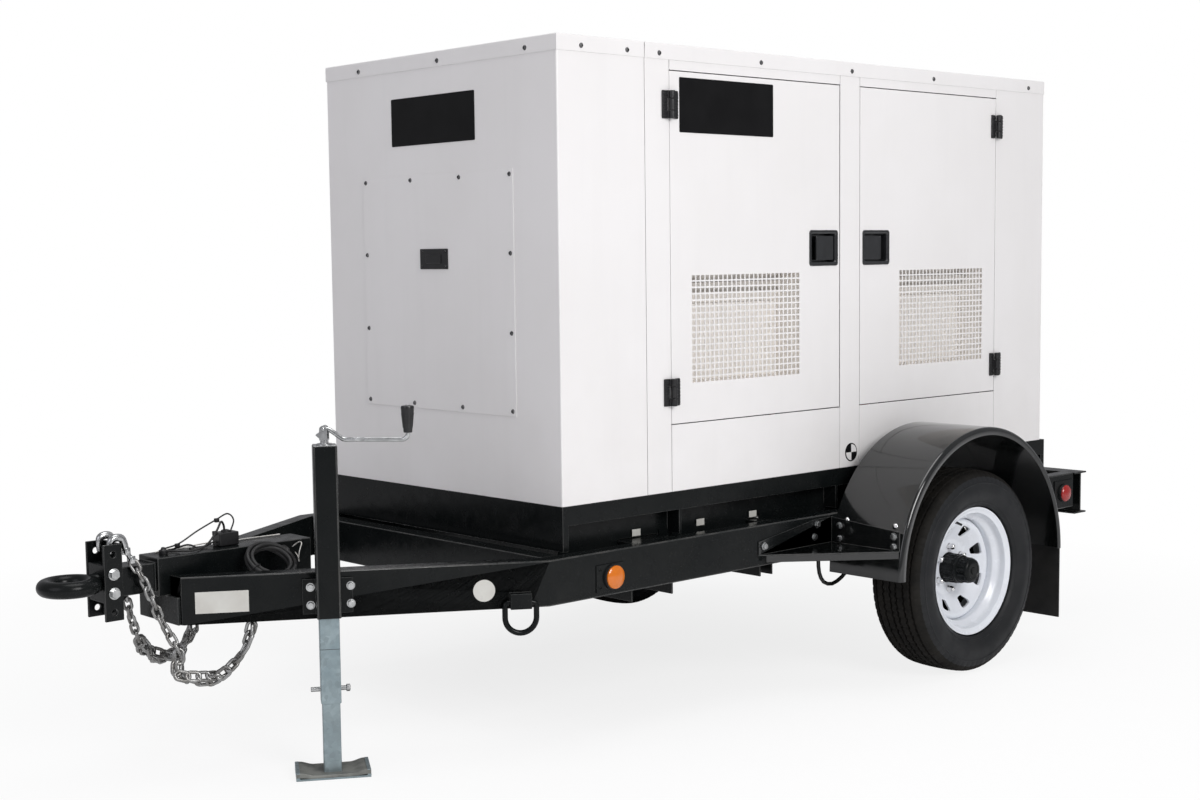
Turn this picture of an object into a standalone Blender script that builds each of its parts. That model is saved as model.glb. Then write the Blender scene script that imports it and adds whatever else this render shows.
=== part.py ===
"""Towable diesel generator: a canopied set on a single-axle trailer with a lunette eye.

Trailer frame: X runs rearward from the canopy's front face, Y to the trailer's right
(the door side that is usually seen is -Y), Z up from the ground.  An empty carries the
whole trailer so that the world origin lies on the ground under the middle of its length.
Lengths are in metres.
"""
import math

import bmesh
import bpy
from mathutils import Matrix, Vector

# ---------------------------------------------------------------- driving dimensions
GAP = 0.0003              # between pieces that touch
FIT = 0.0006              # between sliding square tubes, on each side

# canopy
CANOPY_L = 2.345
CANOPY_W = 1.098
CANOPY_H = 1.2955
CANOPY_Z = 0.664          # underside, above the ground
SHEET = 0.003             # canopy sheet
FRONT_BOX_L = 0.331       # depth of the front air-outlet box
SEAM = 0.002              # joint between canopy sections
ROOF_SKIRT = 0.045
ROOF_T = 0.004
ROOF_LAP = 0.0015         # roof skirt thickness, proud of the walls

# doors
DOOR_GAP = 0.004
DOOR_Z0 = CANOPY_Z + 0.199
DOOR_Z1 = CANOPY_Z + 1.220
FRONT_DOOR_X = (0.433, 1.198)
REAR_DOOR_X = (1.302, 2.051)
DOOR_DEPTH = 0.040
DOOR_SKIN = 0.002
GRILLE_Z = (CANOPY_Z + 0.316, CANOPY_Z + 0.632)
FRONT_GRILLE_X = (0.520, 1.002)
REAR_GRILLE_X = (1.508, 1.976)
DUCT_DEPTH = 0.110
GRILLE_T = 0.0025
GRILLE_GRID = (6, 2)      # windows across and up
GRILLE_BAR = 0.008
HINGE_W = 0.064
HINGE_H = 0.080
HINGE_R = 0.011
HINGE_Z = (CANOPY_Z + 0.293, CANOPY_Z + 1.123)
LATCH_W = 0.138
LATCH_H = 0.112
LATCH_DEPTH = 0.030
LATCH_Z = CANOPY_Z + 0.708
LATCH_INSET = 0.011       # latch bezel to the door's free edge

# front panel
PANEL_W = 0.720
PANEL_Z = (CANOPY_Z + 0.240, CANOPY_Z + 0.940)
PANEL_T = 0.002

# skid base (fuel tank)
SKID_H = 0.1277
SKID_RIM = 0.055
SKID_RECESS = 0.050
SKID_REAR = 0.030         # how far it stands out behind the canopy
DECK_T = 0.012

# side rails and tongue
RAIL_H = 0.127
RAIL_W = 0.0508
RAIL_WALL = 0.0048
RAIL_OUT = 0.612          # half width over the rails
BEND_X = -0.106
NOSE_X = -0.940
NOSE_HALF = 0.106
CROSS_SPANS = ((0.250, 0.420), (0.800, 0.860))
CROSS_DROP = 0.045        # cross members hang this far below the rails
CROSS_T = 0.006

# drawbar and coupler
BAR = 0.1016
BAR_WALL = 0.0064
BAR_TOP = CANOPY_Z - 0.080
BAR_X = (-0.975, -0.500)
STUB = 0.0762
BRACE_W = 0.050
COUPLER_X = -1.075
COUPLER_DEPTH = 0.051
COUPLER_W = 0.1016
COUPLER_T = 0.008
COUPLER_Z = (CANOPY_Z - 0.227, CANOPY_Z - 0.028)
COUPLER_HOLES = (-0.054, -0.105, -0.155, -0.204)
BOLT_R = 0.0079
EYE_X = -1.199
EYE_MAJOR = 0.0605
EYE_MINOR = 0.0215
EYE_Z = CANOPY_Z - 0.130

# rear bumper beam
BUMPER_X = 2.510
BUMPER_FLANGE = 0.076
BUMPER_H = 0.154
BUMPER_T = 0.006
BUMPER_HALF = 0.620

# running gear
WHEEL_X = 1.494
TYRE_R = 0.328
TYRE_W = 0.203
WHEEL_Y = 0.786           # wheel centre plane
RIM_FLANGE_R = 0.2074
RIM_W = 0.150
HUB_FACE = 0.031          # mounting face inboard of the wheel's centre plane
LUG_CIRCLE_R = 0.070
WHEEL_SEGMENTS = 24
AXLE = 0.070
AXLE_X = 1.330
ARM_T = 0.030

# fenders
FENDER_R = 0.444
FENDER_X = 1.516
FENDER_Z = 0.350
FENDER_T = 0.003
FENDER_OUT = 0.892
FENDER_LIP = 0.026
FENDER_SEGMENTS = 20
STEP_X = 0.735
STEP_Z = CANOPY_Z - 0.218
STEP_T = 0.004
STEP_LIP = 0.024
FLAP_T = 0.006
FLAP_Z0 = 0.109

# jack
JACK_S = 0.598            # along the tongue from the bend
JACK_TUBE = 0.0635
JACK_WALL = 0.0048
JACK_TOP = CANOPY_Z + 0.210
JACK_BOTTOM = CANOPY_Z - 0.243
JACK_PLATE = 0.008
INNER_WALL = 0.0025
INNER_BOTTOM = 0.194
INNER_TOP = 0.676
LEG_WALL = 0.003
LEG_TOP = 0.630
SCREW_BOTTOM = 0.540
FOOT_L = 0.195
FOOT_W = 0.115
FOOT_T = 0.006
PIN_Z = 0.229
PIN_R = 0.0065
CRANK_AZ = -48.5          # degrees, where the folded-out crank points
CRANK_ROD_R = 0.006
CRANK_PIN_Z = 0.918
CRANK_ROD_Z = 0.890
CRANK_REACH = 0.222
GRIP_L = 0.070

# tie-down rings
RING_S = 0.083
RING_BAR = 0.008
RING_HALF = 0.043

# safety chains, brake hoses, trailer cable
CHAIN_R = 0.011
HOSE_R = 0.0065
CABLE_R = 0.0065

# engine and alternator line
SHAFT_Z = 1.050
ENGINE_X = (0.620, 1.190)
ENGINE_W = 0.300
ALTERNATOR_X = (1.235, 1.690)
ALTERNATOR_R = 0.185
RADIATOR_X = (0.350, 0.430)
FAN_X = (0.500, 0.530)
FAN_R = 0.215

# ---------------------------------------------------------------- derived values
HALF_W = CANOPY_W / 2
CANOPY_TOP = CANOPY_Z + CANOPY_H
RAIL_TOP = CANOPY_Z - 0.128
RAIL_BOTTOM = RAIL_TOP - RAIL_H
BEND = math.atan2(RAIL_OUT - NOSE_HALF, BEND_X - NOSE_X)
BUMPER_REAR = BUMPER_X + BUMPER_FLANGE / 2
EYE_TIP = EYE_X - EYE_MAJOR - EYE_MINOR
ORIGIN_X = -(EYE_TIP + BUMPER_REAR) / 2
RAIL_IN = RAIL_OUT - RAIL_W
RAIL_REAR_X = BUMPER_X - BUMPER_FLANGE / 2 - GAP
SIDES = {"left": -1, "right": 1}


# ---------------------------------------------------------------- scene helpers
for old in list(bpy.data.objects):
    bpy.data.objects.remove(old)

parts = bpy.data.collections.new("towable_generator")
cutters = bpy.data.collections.new("cutters")
bpy.context.scene.collection.children.link(parts)
bpy.context.scene.collection.children.link(cutters)


def paint(name, colour, roughness, metallic=0.0):
    """A Principled material of one colour."""
    material = bpy.data.materials.new(name)
    material.use_nodes = True
    shader = material.node_tree.nodes["Principled BSDF"]
    shader.inputs["Base Color"].default_value = (*colour, 1.0)
    shader.inputs["Roughness"].default_value = roughness
    shader.inputs["Metallic"].default_value = metallic
    return material


CREAM = paint("cream_paint", (0.80, 0.78, 0.73), 0.45)
BLACK = paint("black_paint", (0.012, 0.013, 0.013), 0.30)
GALVANISED = paint("galvanised_steel", (0.50, 0.54, 0.56), 0.45, 0.9)
ZINC = paint("zinc_steel", (0.62, 0.62, 0.60), 0.30, 1.0)
TYRE = paint("tyre_rubber", (0.022, 0.022, 0.024), 0.75)
RUBBER = paint("black_rubber", (0.015, 0.015, 0.015), 0.65)
WHITE = paint("white_rim_paint", (0.82, 0.83, 0.86), 0.30)
PLASTIC = paint("black_plastic", (0.014, 0.014, 0.015), 0.40)
IRON = paint("engine_paint", (0.09, 0.10, 0.11), 0.45)
ALLOY = paint("cast_alloy", (0.45, 0.45, 0.46), 0.50, 0.8)

origin = bpy.data.objects.new("trailer_origin", None)
origin.location = (ORIGIN_X, 0.0, 0.0)
parts.objects.link(origin)


def empty(name, place, parent=origin):
    """A joint frame at a place given in the trailer frame."""
    frame = bpy.data.objects.new(name, None)
    frame.empty_display_size = 0.05
    frame.parent = parent
    frame["place"] = place
    base = Vector(parent["place"]) if "place" in parent else Vector()
    frame.location = Vector(place) - base
    parts.objects.link(frame)
    return frame


def piece(name, mesh, material=None, frame=origin):
    """Link a mesh, made in the trailer frame, as one named object under a frame."""
    obj = bpy.data.objects.new(name, mesh)
    obj.parent = frame
    if "place" in frame:
        obj.location = -Vector(frame["place"])
    if material is None:
        cutters.objects.link(obj)
        obj.hide_render = True
        obj.display_type = "WIRE"
    else:
        parts.objects.link(obj)
        mesh.materials.append(material)
    return obj


def mesh_of(bm, name):
    """Finish a bmesh as mesh data."""
    mesh = bpy.data.meshes.new(name)
    bm.to_mesh(mesh)
    bm.free()
    return mesh


def box(name, low, high, material=None, frame=origin):
    """A cuboid between two corners."""
    bm = bmesh.new()
    size = [b - a for a, b in zip(low, high)]
    middle = [(a + b) / 2 for a, b in zip(low, high)]
    matrix = Matrix.Translation(middle) @ Matrix.Diagonal((*size, 1.0))
    bmesh.ops.create_cube(bm, size=1.0, matrix=matrix)
    return piece(name, mesh_of(bm, name), material, frame)


AXES = {
    "Z": Matrix.Identity(4),
    "X": Matrix(((0, 0, 1, 0), (1, 0, 0, 0), (0, 1, 0, 0), (0, 0, 0, 1))),
    "Y": Matrix(((1, 0, 0, 0), (0, 0, -1, 0), (0, 1, 0, 0), (0, 0, 0, 1))),
}


def rod(name, centre, axis, radius, length, segments=16, material=None, frame=origin, top=None):
    """A cylinder, or a cone with another top radius, along X, Y or Z."""
    bm = bmesh.new()
    matrix = Matrix.Translation(centre) @ AXES[axis]
    bmesh.ops.create_cone(bm, cap_ends=True, segments=segments, radius1=radius,
                          radius2=radius if top is None else top, depth=length, matrix=matrix)
    return piece(name, mesh_of(bm, name), material, frame)


def solid_from_curve(curve, name):
    """The evaluated curve as a welded, closed mesh."""
    holder = bpy.data.objects.new(name, curve)
    bpy.context.scene.collection.objects.link(holder)
    graph = bpy.context.evaluated_depsgraph_get()
    mesh = bpy.data.meshes.new_from_object(holder.evaluated_get(graph))
    bpy.data.objects.remove(holder)
    bm = bmesh.new()
    bm.from_mesh(mesh)
    bmesh.ops.remove_doubles(bm, verts=bm.verts, dist=0.00001)
    bmesh.ops.recalc_face_normals(bm, faces=bm.faces)
    bm.to_mesh(mesh)
    bm.free()
    return mesh


def prism(name, outline, axis, span, material=None, frame=origin):
    """An outline across an axis, extruded between the two places in span.

    Outlines are (x, y) for Z, (x, z) for Y and (y, z) for X.
    """
    curve = bpy.data.curves.new(name, "CURVE")
    curve.dimensions = "2D"
    curve.fill_mode = "BOTH"
    curve.extrude = (span[1] - span[0]) / 2
    spline = curve.splines.new("POLY")
    spline.points.add(len(outline) - 1)
    for point, (u, v) in zip(spline.points, outline):
        point.co = (u, v, 0.0, 1.0)
    spline.use_cyclic_u = True
    mesh = solid_from_curve(curve, name)
    middle = (span[0] + span[1]) / 2
    mesh.transform(AXES[axis])
    along = {"X": (middle, 0, 0), "Y": (0, middle, 0), "Z": (0, 0, middle)}[axis]
    mesh.transform(Matrix.Translation(along))
    return piece(name, mesh, material, frame)


def pipe(name, points, radius, material=None, frame=origin, closed=False):
    """A round bar or hose along points, or a ring through them."""
    curve = bpy.data.curves.new(name, "CURVE")
    curve.dimensions = "3D"
    curve.bevel_depth = radius
    curve.bevel_resolution = 2
    curve.use_fill_caps = not closed
    spline = curve.splines.new("POLY")
    spline.points.add(len(points) - 1)
    for point, place in zip(spline.points, points):
        point.co = (*place, 1.0)
    spline.use_cyclic_u = closed
    return piece(name, solid_from_curve(curve, name), material, frame)


def turned(name, profile, centre, tilt, material=None, frame=origin, segments=24, turn=0.0):
    """A profile of (radius, height) points spun about Z, then tilted about X by degrees.

    The profile starts at the top of its outer side and runs down it.
    """
    mesh = bpy.data.meshes.new(name)
    closed = profile[0][0] > 0
    edges = [(i, i + 1) for i in range(len(profile) - 1)]
    if closed:
        edges.append((len(profile) - 1, 0))
    mesh.from_pydata([(r, 0.0, a) for r, a in profile], edges, [])
    obj = piece(name, mesh, material, frame)
    screw = obj.modifiers.new("Screw", "SCREW")
    screw.steps = segments
    screw.render_steps = segments
    screw.use_merge_vertices = True
    screw.merge_threshold = 0.0001
    obj.location += Vector(centre)
    obj.rotation_euler = (math.radians(tilt), 0.0, 0.0)
    obj.rotation_euler.rotate_axis("Z", turn)
    return obj


def combine(base, tools, operation):
    """Boolean tools onto a base with the exact solver."""
    for tool in tools:
        step = base.modifiers.new(operation.title(), "BOOLEAN")
        step.operation = operation
        step.solver = "EXACT"
        step.object = tool
    return base


def join(base, *tools):
    """Weld tools onto a base."""
    return combine(base, tools, "UNION")


def cut(base, *tools):
    """Cut tools out of a base."""
    return combine(base, tools, "DIFFERENCE")


def arc(centre, radius, start, stop, steps):
    """Points of an arc, angles in degrees."""
    points = []
    for i in range(steps + 1):
        angle = math.radians(start + (stop - start) * i / steps)
        points.append((centre[0] + radius * math.cos(angle), centre[1] + radius * math.sin(angle)))
    return points


# ---------------------------------------------------------------- chassis
def tongue_point(side, s, off=0.0):
    """A place on a tongue member's outer face, s from the bend, off outward of the face."""
    x = BEND_X - s * math.cos(BEND) - off * math.sin(BEND)
    y = RAIL_OUT - s * math.sin(BEND) + off * math.cos(BEND)
    return x, side * y


def rail_outline(side, inset, beyond):
    """Plan of a rail with its tongue member, shrunk by inset and lengthened by beyond."""
    out = RAIL_OUT - inset
    inner = RAIL_IN + inset
    half = math.tan(BEND / 2)
    width = RAIL_W - 2 * inset
    bend_out = BEND_X + inset * half
    bend_in = bend_out + width * half
    nose = NOSE_X - beyond
    slope = math.tan(BEND)
    nose_out = out - (bend_out - nose) * slope
    nose_in = inner - (bend_in - nose) * slope
    rear = RAIL_REAR_X + beyond
    points = [(rear, out), (bend_out, out), (nose, nose_out), (nose, nose_in), (bend_in, inner),
              (rear, inner)]
    return [(x, side * y) for x, y in points]


def rails():
    """Both side rails, each one bent rectangular tube that runs on as a tongue member."""
    for word, side in SIDES.items():
        rail = prism(f"{word}_rail", rail_outline(side, 0.0, 0.0), "Z", (RAIL_BOTTOM, RAIL_TOP), BLACK)
        bore = prism(f"{word}_rail_bore", rail_outline(side, RAIL_WALL, 0.01), "Z",
                     (RAIL_BOTTOM + RAIL_WALL, RAIL_TOP - RAIL_WALL))
        half = BAR / 2 + GAP
        room = box(f"{word}_rail_bar_room", (BAR_X[0], -half, BAR_TOP - BAR - GAP),
                   (BAR_X[1], half, BAR_TOP))
        x, y = tongue_point(side, RING_S, 0.012)
        lug = box(f"{word}_ring_lug", (-0.029, -0.015, -0.021), (0.029, 0.015, 0.021))
        lug.location = (x, y, RAIL_BOTTOM + 0.023)
        lug.rotation_euler.z = side * BEND
        eye = rod(f"{word}_ring_lug_eye", (0, 0, 0), "X", RING_BAR + 0.002, 0.09, 12)
        eye.location = (x, y, RAIL_BOTTOM + 0.018)
        eye.rotation_euler.z = side * BEND
        cut(rail, bore, room)
        join(rail, lug)
        cut(rail, eye)


def cross_members():
    """Front cross tube and the deeper channels, open downward, between the rails."""
    half = RAIL_IN - GAP
    front_x = (BEND_X + 0.016, BEND_X + 0.076)
    front = box("front_cross_member", (front_x[0], -half, RAIL_BOTTOM), (front_x[1], half, RAIL_TOP - GAP),
                BLACK)
    hollow = box("front_cross_bore", (front_x[0] + RAIL_WALL, -half - 0.01, RAIL_BOTTOM + RAIL_WALL),
                 (front_x[1] - RAIL_WALL, half + 0.01, RAIL_TOP - RAIL_WALL))
    cut(front, hollow)
    bottom = RAIL_BOTTOM - CROSS_DROP
    top = RAIL_TOP - GAP
    for number, (x0, x1) in enumerate(CROSS_SPANS, 1):
        outline = [(x0, bottom), (x0 + CROSS_T, bottom), (x0 + CROSS_T, top - CROSS_T),
                   (x1 - CROSS_T, top - CROSS_T), (x1 - CROSS_T, bottom), (x1, bottom), (x1, top),
                   (x0, top)]
        prism(f"cross_member_{number}", outline, "Y", (-half, half), BLACK)


def drawbar():
    """Centre tube with its stub, and the nose plate and brace welded under it."""
    half = BAR / 2
    middle = BAR_TOP - half
    tube = box("drawbar_tube", (BAR_X[0], -half, BAR_TOP - BAR), (BAR_X[1], half, BAR_TOP), BLACK)
    inner = half - BAR_WALL
    bore = box("drawbar_bore", (BAR_X[0] + 0.012, -inner, middle - inner),
               (BAR_X[1] + 0.01, inner, middle + inner))
    small = STUB / 2
    stub = box("drawbar_stub", (COUPLER_X + GAP, -small, middle - small),
               (BAR_X[0] + 0.001, small, middle + small))
    half_plate = NOSE_HALF - 0.004
    under = BAR_TOP - BAR + 0.001
    nose = box("nose_plate", (NOSE_X - 0.010, -half_plate, RAIL_BOTTOM), (NOSE_X - GAP, half_plate, under))
    brace_half = RAIL_IN - (BEND_X - BAR_X[1] + BRACE_W) * math.tan(BEND) - 0.012
    brace = box("tongue_brace", (BAR_X[1] - BRACE_W, -brace_half, under - 0.050),
                (BAR_X[1] - 0.001, brace_half, under))
    join(cut(tube, bore), stub, nose, brace)


def coupler():
    """Vertical channel and the lunette eye, with the two bolts that hold it."""
    half = COUPLER_W / 2
    front = COUPLER_X - COUPLER_DEPTH
    inside = half - COUPLER_T
    outline = [(front, -half), (COUPLER_X, -half), (COUPLER_X, half), (front, half), (front, inside),
               (COUPLER_X - COUPLER_T, inside), (COUPLER_X - COUPLER_T, -inside), (front, -inside)]
    channel = prism("coupler_channel", outline, "Z", COUPLER_Z, BLACK)
    bolt_x = COUPLER_X - COUPLER_DEPTH / 2
    for number, drop in enumerate(COUPLER_HOLES):
        hole_r = BOLT_R + 2 * GAP
        cut(channel, rod(f"coupler_hole_{number}", (bolt_x, 0, CANOPY_Z + drop), "Y", hole_r, 0.2, 14))
    gusset_top = BAR_TOP - 0.092
    gusset_plan = [(COUPLER_X - 0.002, COUPLER_Z[0] + 0.012), (COUPLER_X + 0.040, gusset_top),
                   (COUPLER_X - 0.002, gusset_top)]
    gusset = prism("coupler_gusset", gusset_plan, "Y", (-0.005, 0.005))
    join(channel, gusset)

    bm = bmesh.new()
    steps, sides = 22, 8
    rings = []
    for i in range(steps):
        turn = Matrix.Rotation(2 * math.pi * i / steps, 4, "Z")
        ring = []
        for j in range(sides):
            angle = 2 * math.pi * j / sides
            place = Vector((EYE_MAJOR + EYE_MINOR * math.cos(angle), 0.0, EYE_MINOR * math.sin(angle)))
            ring.append(bm.verts.new(Vector((EYE_X, 0.0, EYE_Z)) + turn @ place))
        rings.append(ring)
    for i in range(steps):
        for j in range(sides):
            a, b = rings[i], rings[(i + 1) % steps]
            bm.faces.new((a[j], b[j], b[(j + 1) % sides], a[(j + 1) % sides]))
    eye = piece("lunette_eye", mesh_of(bm, "lunette_eye"), BLACK)
    width = inside - GAP
    shank = box("eye_shank", (front + 0.001, -width, EYE_Z - 0.050),
                (COUPLER_X - COUPLER_T - GAP, width, EYE_Z + 0.050))
    neck = rod("eye_neck", ((EYE_X + EYE_MAJOR + front) / 2 + 0.003, 0, EYE_Z), "X", 0.030,
               front - EYE_X - EYE_MAJOR + 0.020, 14, top=0.024)
    join(eye, shank, neck)
    for number, drop in enumerate(COUPLER_HOLES[1:3], 1):
        z = CANOPY_Z + drop
        bolt = rod(f"coupler_bolt_{number}", (bolt_x, 0, z), "Y", BOLT_R, COUPLER_W + 0.030, 12)
        head_y = half + GAP + 0.005
        heads = [rod(f"coupler_bolt_{number}_{word}", (bolt_x, side * head_y, z), "Y", 0.0135, 0.010, 6)
                 for word, side in SIDES.items()]
        join(eye, bolt, *heads)


def bumper():
    """I-section beam across the rail ends."""
    web, flange = BUMPER_T / 2, BUMPER_FLANGE / 2
    top, bottom = RAIL_TOP, RAIL_TOP - BUMPER_H
    outline = [(-flange, top), (-flange, top - BUMPER_T), (-web, top - BUMPER_T), (-web, bottom + BUMPER_T),
               (-flange, bottom + BUMPER_T), (-flange, bottom), (flange, bottom),
               (flange, bottom + BUMPER_T), (web, bottom + BUMPER_T), (web, top - BUMPER_T),
               (flange, top - BUMPER_T), (flange, top)]
    prism("rear_bumper", [(BUMPER_X + x, z) for x, z in outline], "Y", (-BUMPER_HALF, BUMPER_HALF), BLACK)


# ---------------------------------------------------------------- running gear
HOSE_ROUTE = [(1.050, 0.585, RAIL_BOTTOM - GAP), (1.050, 0.585, 0.385), (1.056, 0.584, 0.345),
              (1.080, 0.582, 0.312),
              (1.125, 0.580, 0.300), (1.175, 0.578, 0.315), (1.225, 0.576, 0.345), (1.280, 0.574, 0.362),
              (AXLE_X + 0.010, 0.573, 0.366)]


def axle():
    """Torsion axle tube with trailing arms and spindles, in one piece with its brake hoses."""
    half = WHEEL_Y - TYRE_W / 2 - 0.052
    top = RAIL_BOTTOM - GAP
    beam = box("axle_beam", (AXLE_X, -half, top - AXLE), (AXLE_X + AXLE, half, top), BLACK)
    z = TYRE_R
    hub_inner = WHEEL_Y - HUB_FACE - 0.065
    for word, side in SIDES.items():
        outline = [(AXLE_X, top - AXLE), (AXLE_X + AXLE, top - AXLE - 0.020), (WHEEL_X + 0.030, z - 0.032),
                   (WHEEL_X + 0.038, z), (WHEEL_X + 0.025, z + 0.034), (AXLE_X, top)]
        arm = prism(f"{word}_arm", outline, "Y", sorted((side * (half - 0.001), side * (half + ARM_T))))
        tip = WHEEL_Y - HUB_FACE + 0.030
        spindle = rod(f"{word}_spindle", (WHEEL_X, side * (half + tip) / 2, z), "Y", 0.0175, tip - half, 14)
        collar_y = side * (half + ARM_T + hub_inner - 0.004) / 2
        collar = rod(f"{word}_collar", (WHEEL_X, collar_y, z), "Y", 0.040, hub_inner - half - ARM_T, 16)
        hose = pipe(f"{word}_brake_hose", smooth([(px, side * py, pz) for px, py, pz in HOSE_ROUTE], 0.025),
                    HOSE_R)
        join(beam, arm, spindle, collar, hose)


def wheels():
    """Steel wheels, tyres and hubs on the two spindles."""
    depth = RIM_W / 2
    tyre_profile = [
        (0.1918, 0.0600), (0.2115, 0.0620), (0.2130, 0.0800), (0.2600, 0.1010), (0.3060, 0.0930),
        (TYRE_R, 0.0680), (TYRE_R, -0.0680), (0.3060, -0.0930), (0.2600, -0.1010), (0.2130, -0.0800),
        (0.2115, -0.0620), (0.1918, -0.0600), (0.1918, -0.0500), (0.2650, -0.0860), (0.3100, -0.0560),
        (0.3100, 0.0560), (0.2650, 0.0860), (0.1918, 0.0500)]
    rim_profile = [
        (RIM_FLANGE_R, depth), (RIM_FLANGE_R, depth - 0.009), (0.1930, depth - 0.012), (0.1905, 0.044),
        (0.1700, 0.030), (0.1700, -0.010), (0.1905, -0.044), (0.1930, 0.012 - depth),
        (RIM_FLANGE_R, 0.009 - depth), (RIM_FLANGE_R, -depth),
        (0.1860, 0.006 - depth), (0.1640, -0.012), (0.1480, 0.010), (0.0850, -HUB_FACE - GAP),
        (0.0480, -HUB_FACE - GAP), (0.0480, 0.006 - HUB_FACE), (0.0860, 0.006 - HUB_FACE), (0.1480, 0.017),
        (0.1640, 0.012), (0.1640, 0.034), (0.1860, depth - 0.006)]
    hub_profile = [(0.0, 0.078), (0.034, 0.078), (0.040, 0.072), (0.040, 0.030), (0.0465, 0.028),
                   (0.0465, -HUB_FACE - 0.001), (0.0900, -HUB_FACE - 0.001), (0.0900, -HUB_FACE - 0.010),
                   (0.1350, -HUB_FACE - 0.012), (0.1350, -HUB_FACE - 0.062), (0.1290, -HUB_FACE - 0.062),
                   (0.1290, -HUB_FACE - 0.020), (0.0600, -HUB_FACE - 0.020), (0.0600, -HUB_FACE - 0.064),
                   (0.0180, -HUB_FACE - 0.064), (0.0180, 0.032), (0.0, 0.032)]
    turn = math.pi / WHEEL_SEGMENTS
    grow = 1 / math.cos(turn)
    for word, side in SIDES.items():
        centre = (WHEEL_X, side * WHEEL_Y, TYRE_R)
        frame = empty(f"{word}_wheel_axis", centre)
        tilt = -90.0 * side
        turned(f"{word}_tyre", [(r * grow, a) for r, a in tyre_profile], centre, tilt, TYRE, frame,
               WHEEL_SEGMENTS, turn)
        rim = turned(f"{word}_rim", rim_profile, centre, tilt, WHITE, frame, WHEEL_SEGMENTS, turn)
        hub = turned(f"{word}_hub", hub_profile, centre, tilt, BLACK, frame, 18)
        for number in range(8):
            angle = math.radians(22.5 + 45 * number)
            x, z = centre[0] + 0.126 * math.cos(angle), centre[2] + 0.126 * math.sin(angle)
            slot = rod(f"{word}_slot_{number}", (x, centre[1], z), "Y", 0.019, 0.10, 8, frame=frame)
            cut(rim, slot)
        for number in range(6):
            angle = math.radians(30 + 60 * number)
            x, z = centre[0] + LUG_CIRCLE_R * math.cos(angle), centre[2] + LUG_CIRCLE_R * math.sin(angle)
            stud_y = side * (WHEEL_Y - HUB_FACE + 0.008)
            stud = rod(f"{word}_stud_{number}", (x, stud_y, z), "Y", 0.006, 0.050, 8, frame=frame)
            hole = rod(f"{word}_stud_hole_{number}", (x, stud_y, z), "Y", 0.0068, 0.10, 8, frame=frame)
            join(hub, stud)
            cut(rim, hole)


def fenders():
    """Barrel fenders with a folded outer lip, their step brackets and the mud flaps."""
    inner_y = RAIL_OUT + GAP
    centre = (FENDER_X, FENDER_Z)
    for word, side in SIDES.items():
        barrel = arc(centre, FENDER_R, 0, 180, FENDER_SEGMENTS)
        barrel += arc(centre, FENDER_R - FENDER_T, 180, 0, FENDER_SEGMENTS)
        span = sorted((side * inner_y, side * FENDER_OUT))
        fender = prism(f"{word}_fender", barrel, "Y", span, BLACK)
        lip = arc(centre, FENDER_R - 0.0005, 0, 180, FENDER_SEGMENTS)
        lip += arc(centre, FENDER_R - FENDER_LIP, 180, 0, FENDER_SEGMENTS)
        lip_span = sorted((side * (FENDER_OUT - FENDER_T), side * (FENDER_OUT - 0.0002)))
        join(fender, prism(f"{word}_fender_lip", lip, "Y", lip_span))

        low = STEP_Z - FENDER_Z
        touch = FENDER_X - math.sqrt(FENDER_R ** 2 - low ** 2) - 2 * GAP
        rise = STEP_Z + 0.080
        floor = [(STEP_X, side * inner_y), (STEP_X + 0.025, side * (inner_y + 0.020)),
                 (touch - 0.010, side * (FENDER_OUT - 0.010)), (touch, side * (FENDER_OUT - 0.010)),
                 (touch, side * inner_y)]
        step = prism(f"{word}_step_bracket", floor, "Z", (STEP_Z - STEP_T, STEP_Z), BLACK)
        plate = [(STEP_X, STEP_Z - 0.001), (touch, STEP_Z - 0.001), (touch, rise), (touch - 0.085, rise),
                 (STEP_X, STEP_Z + 0.040)]
        plate_y = sorted((side * inner_y, side * (inner_y + STEP_T)))
        rail_plate = prism(f"{word}_rail_plate", plate, "Y", plate_y)
        post = [(side * (inner_y + 0.001), STEP_Z - 0.001), (side * (FENDER_OUT - 0.010), STEP_Z - 0.001),
                (side * (FENDER_OUT - 0.010), STEP_Z + 0.058), (side * (inner_y + 0.001), rise)]
        cross_plate = prism(f"{word}_cross_plate", post, "X", (touch - STEP_T, touch - 0.0001))
        lip_plan = [(STEP_X + 0.020, side * (inner_y + 0.016)),
                    (touch - 0.006, side * (FENDER_OUT - 0.0105)),
                    (touch - 0.006, side * (FENDER_OUT - 0.017)),
                    (STEP_X + 0.028, side * (inner_y + 0.012))]
        lower = prism(f"{word}_step_lip", lip_plan, "Z", (STEP_Z - STEP_LIP, STEP_Z - 0.001))
        join(step, rail_plate, cross_plate, lower)

        back = FENDER_X + FENDER_R + 2 * GAP
        flap_y = sorted((side * (inner_y + 0.020), side * (FENDER_OUT - 0.012)))
        box(f"{word}_mudflap", (back, flap_y[0], FLAP_Z0), (back + FLAP_T, flap_y[1], FENDER_Z + 0.060),
            RUBBER)


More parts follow.
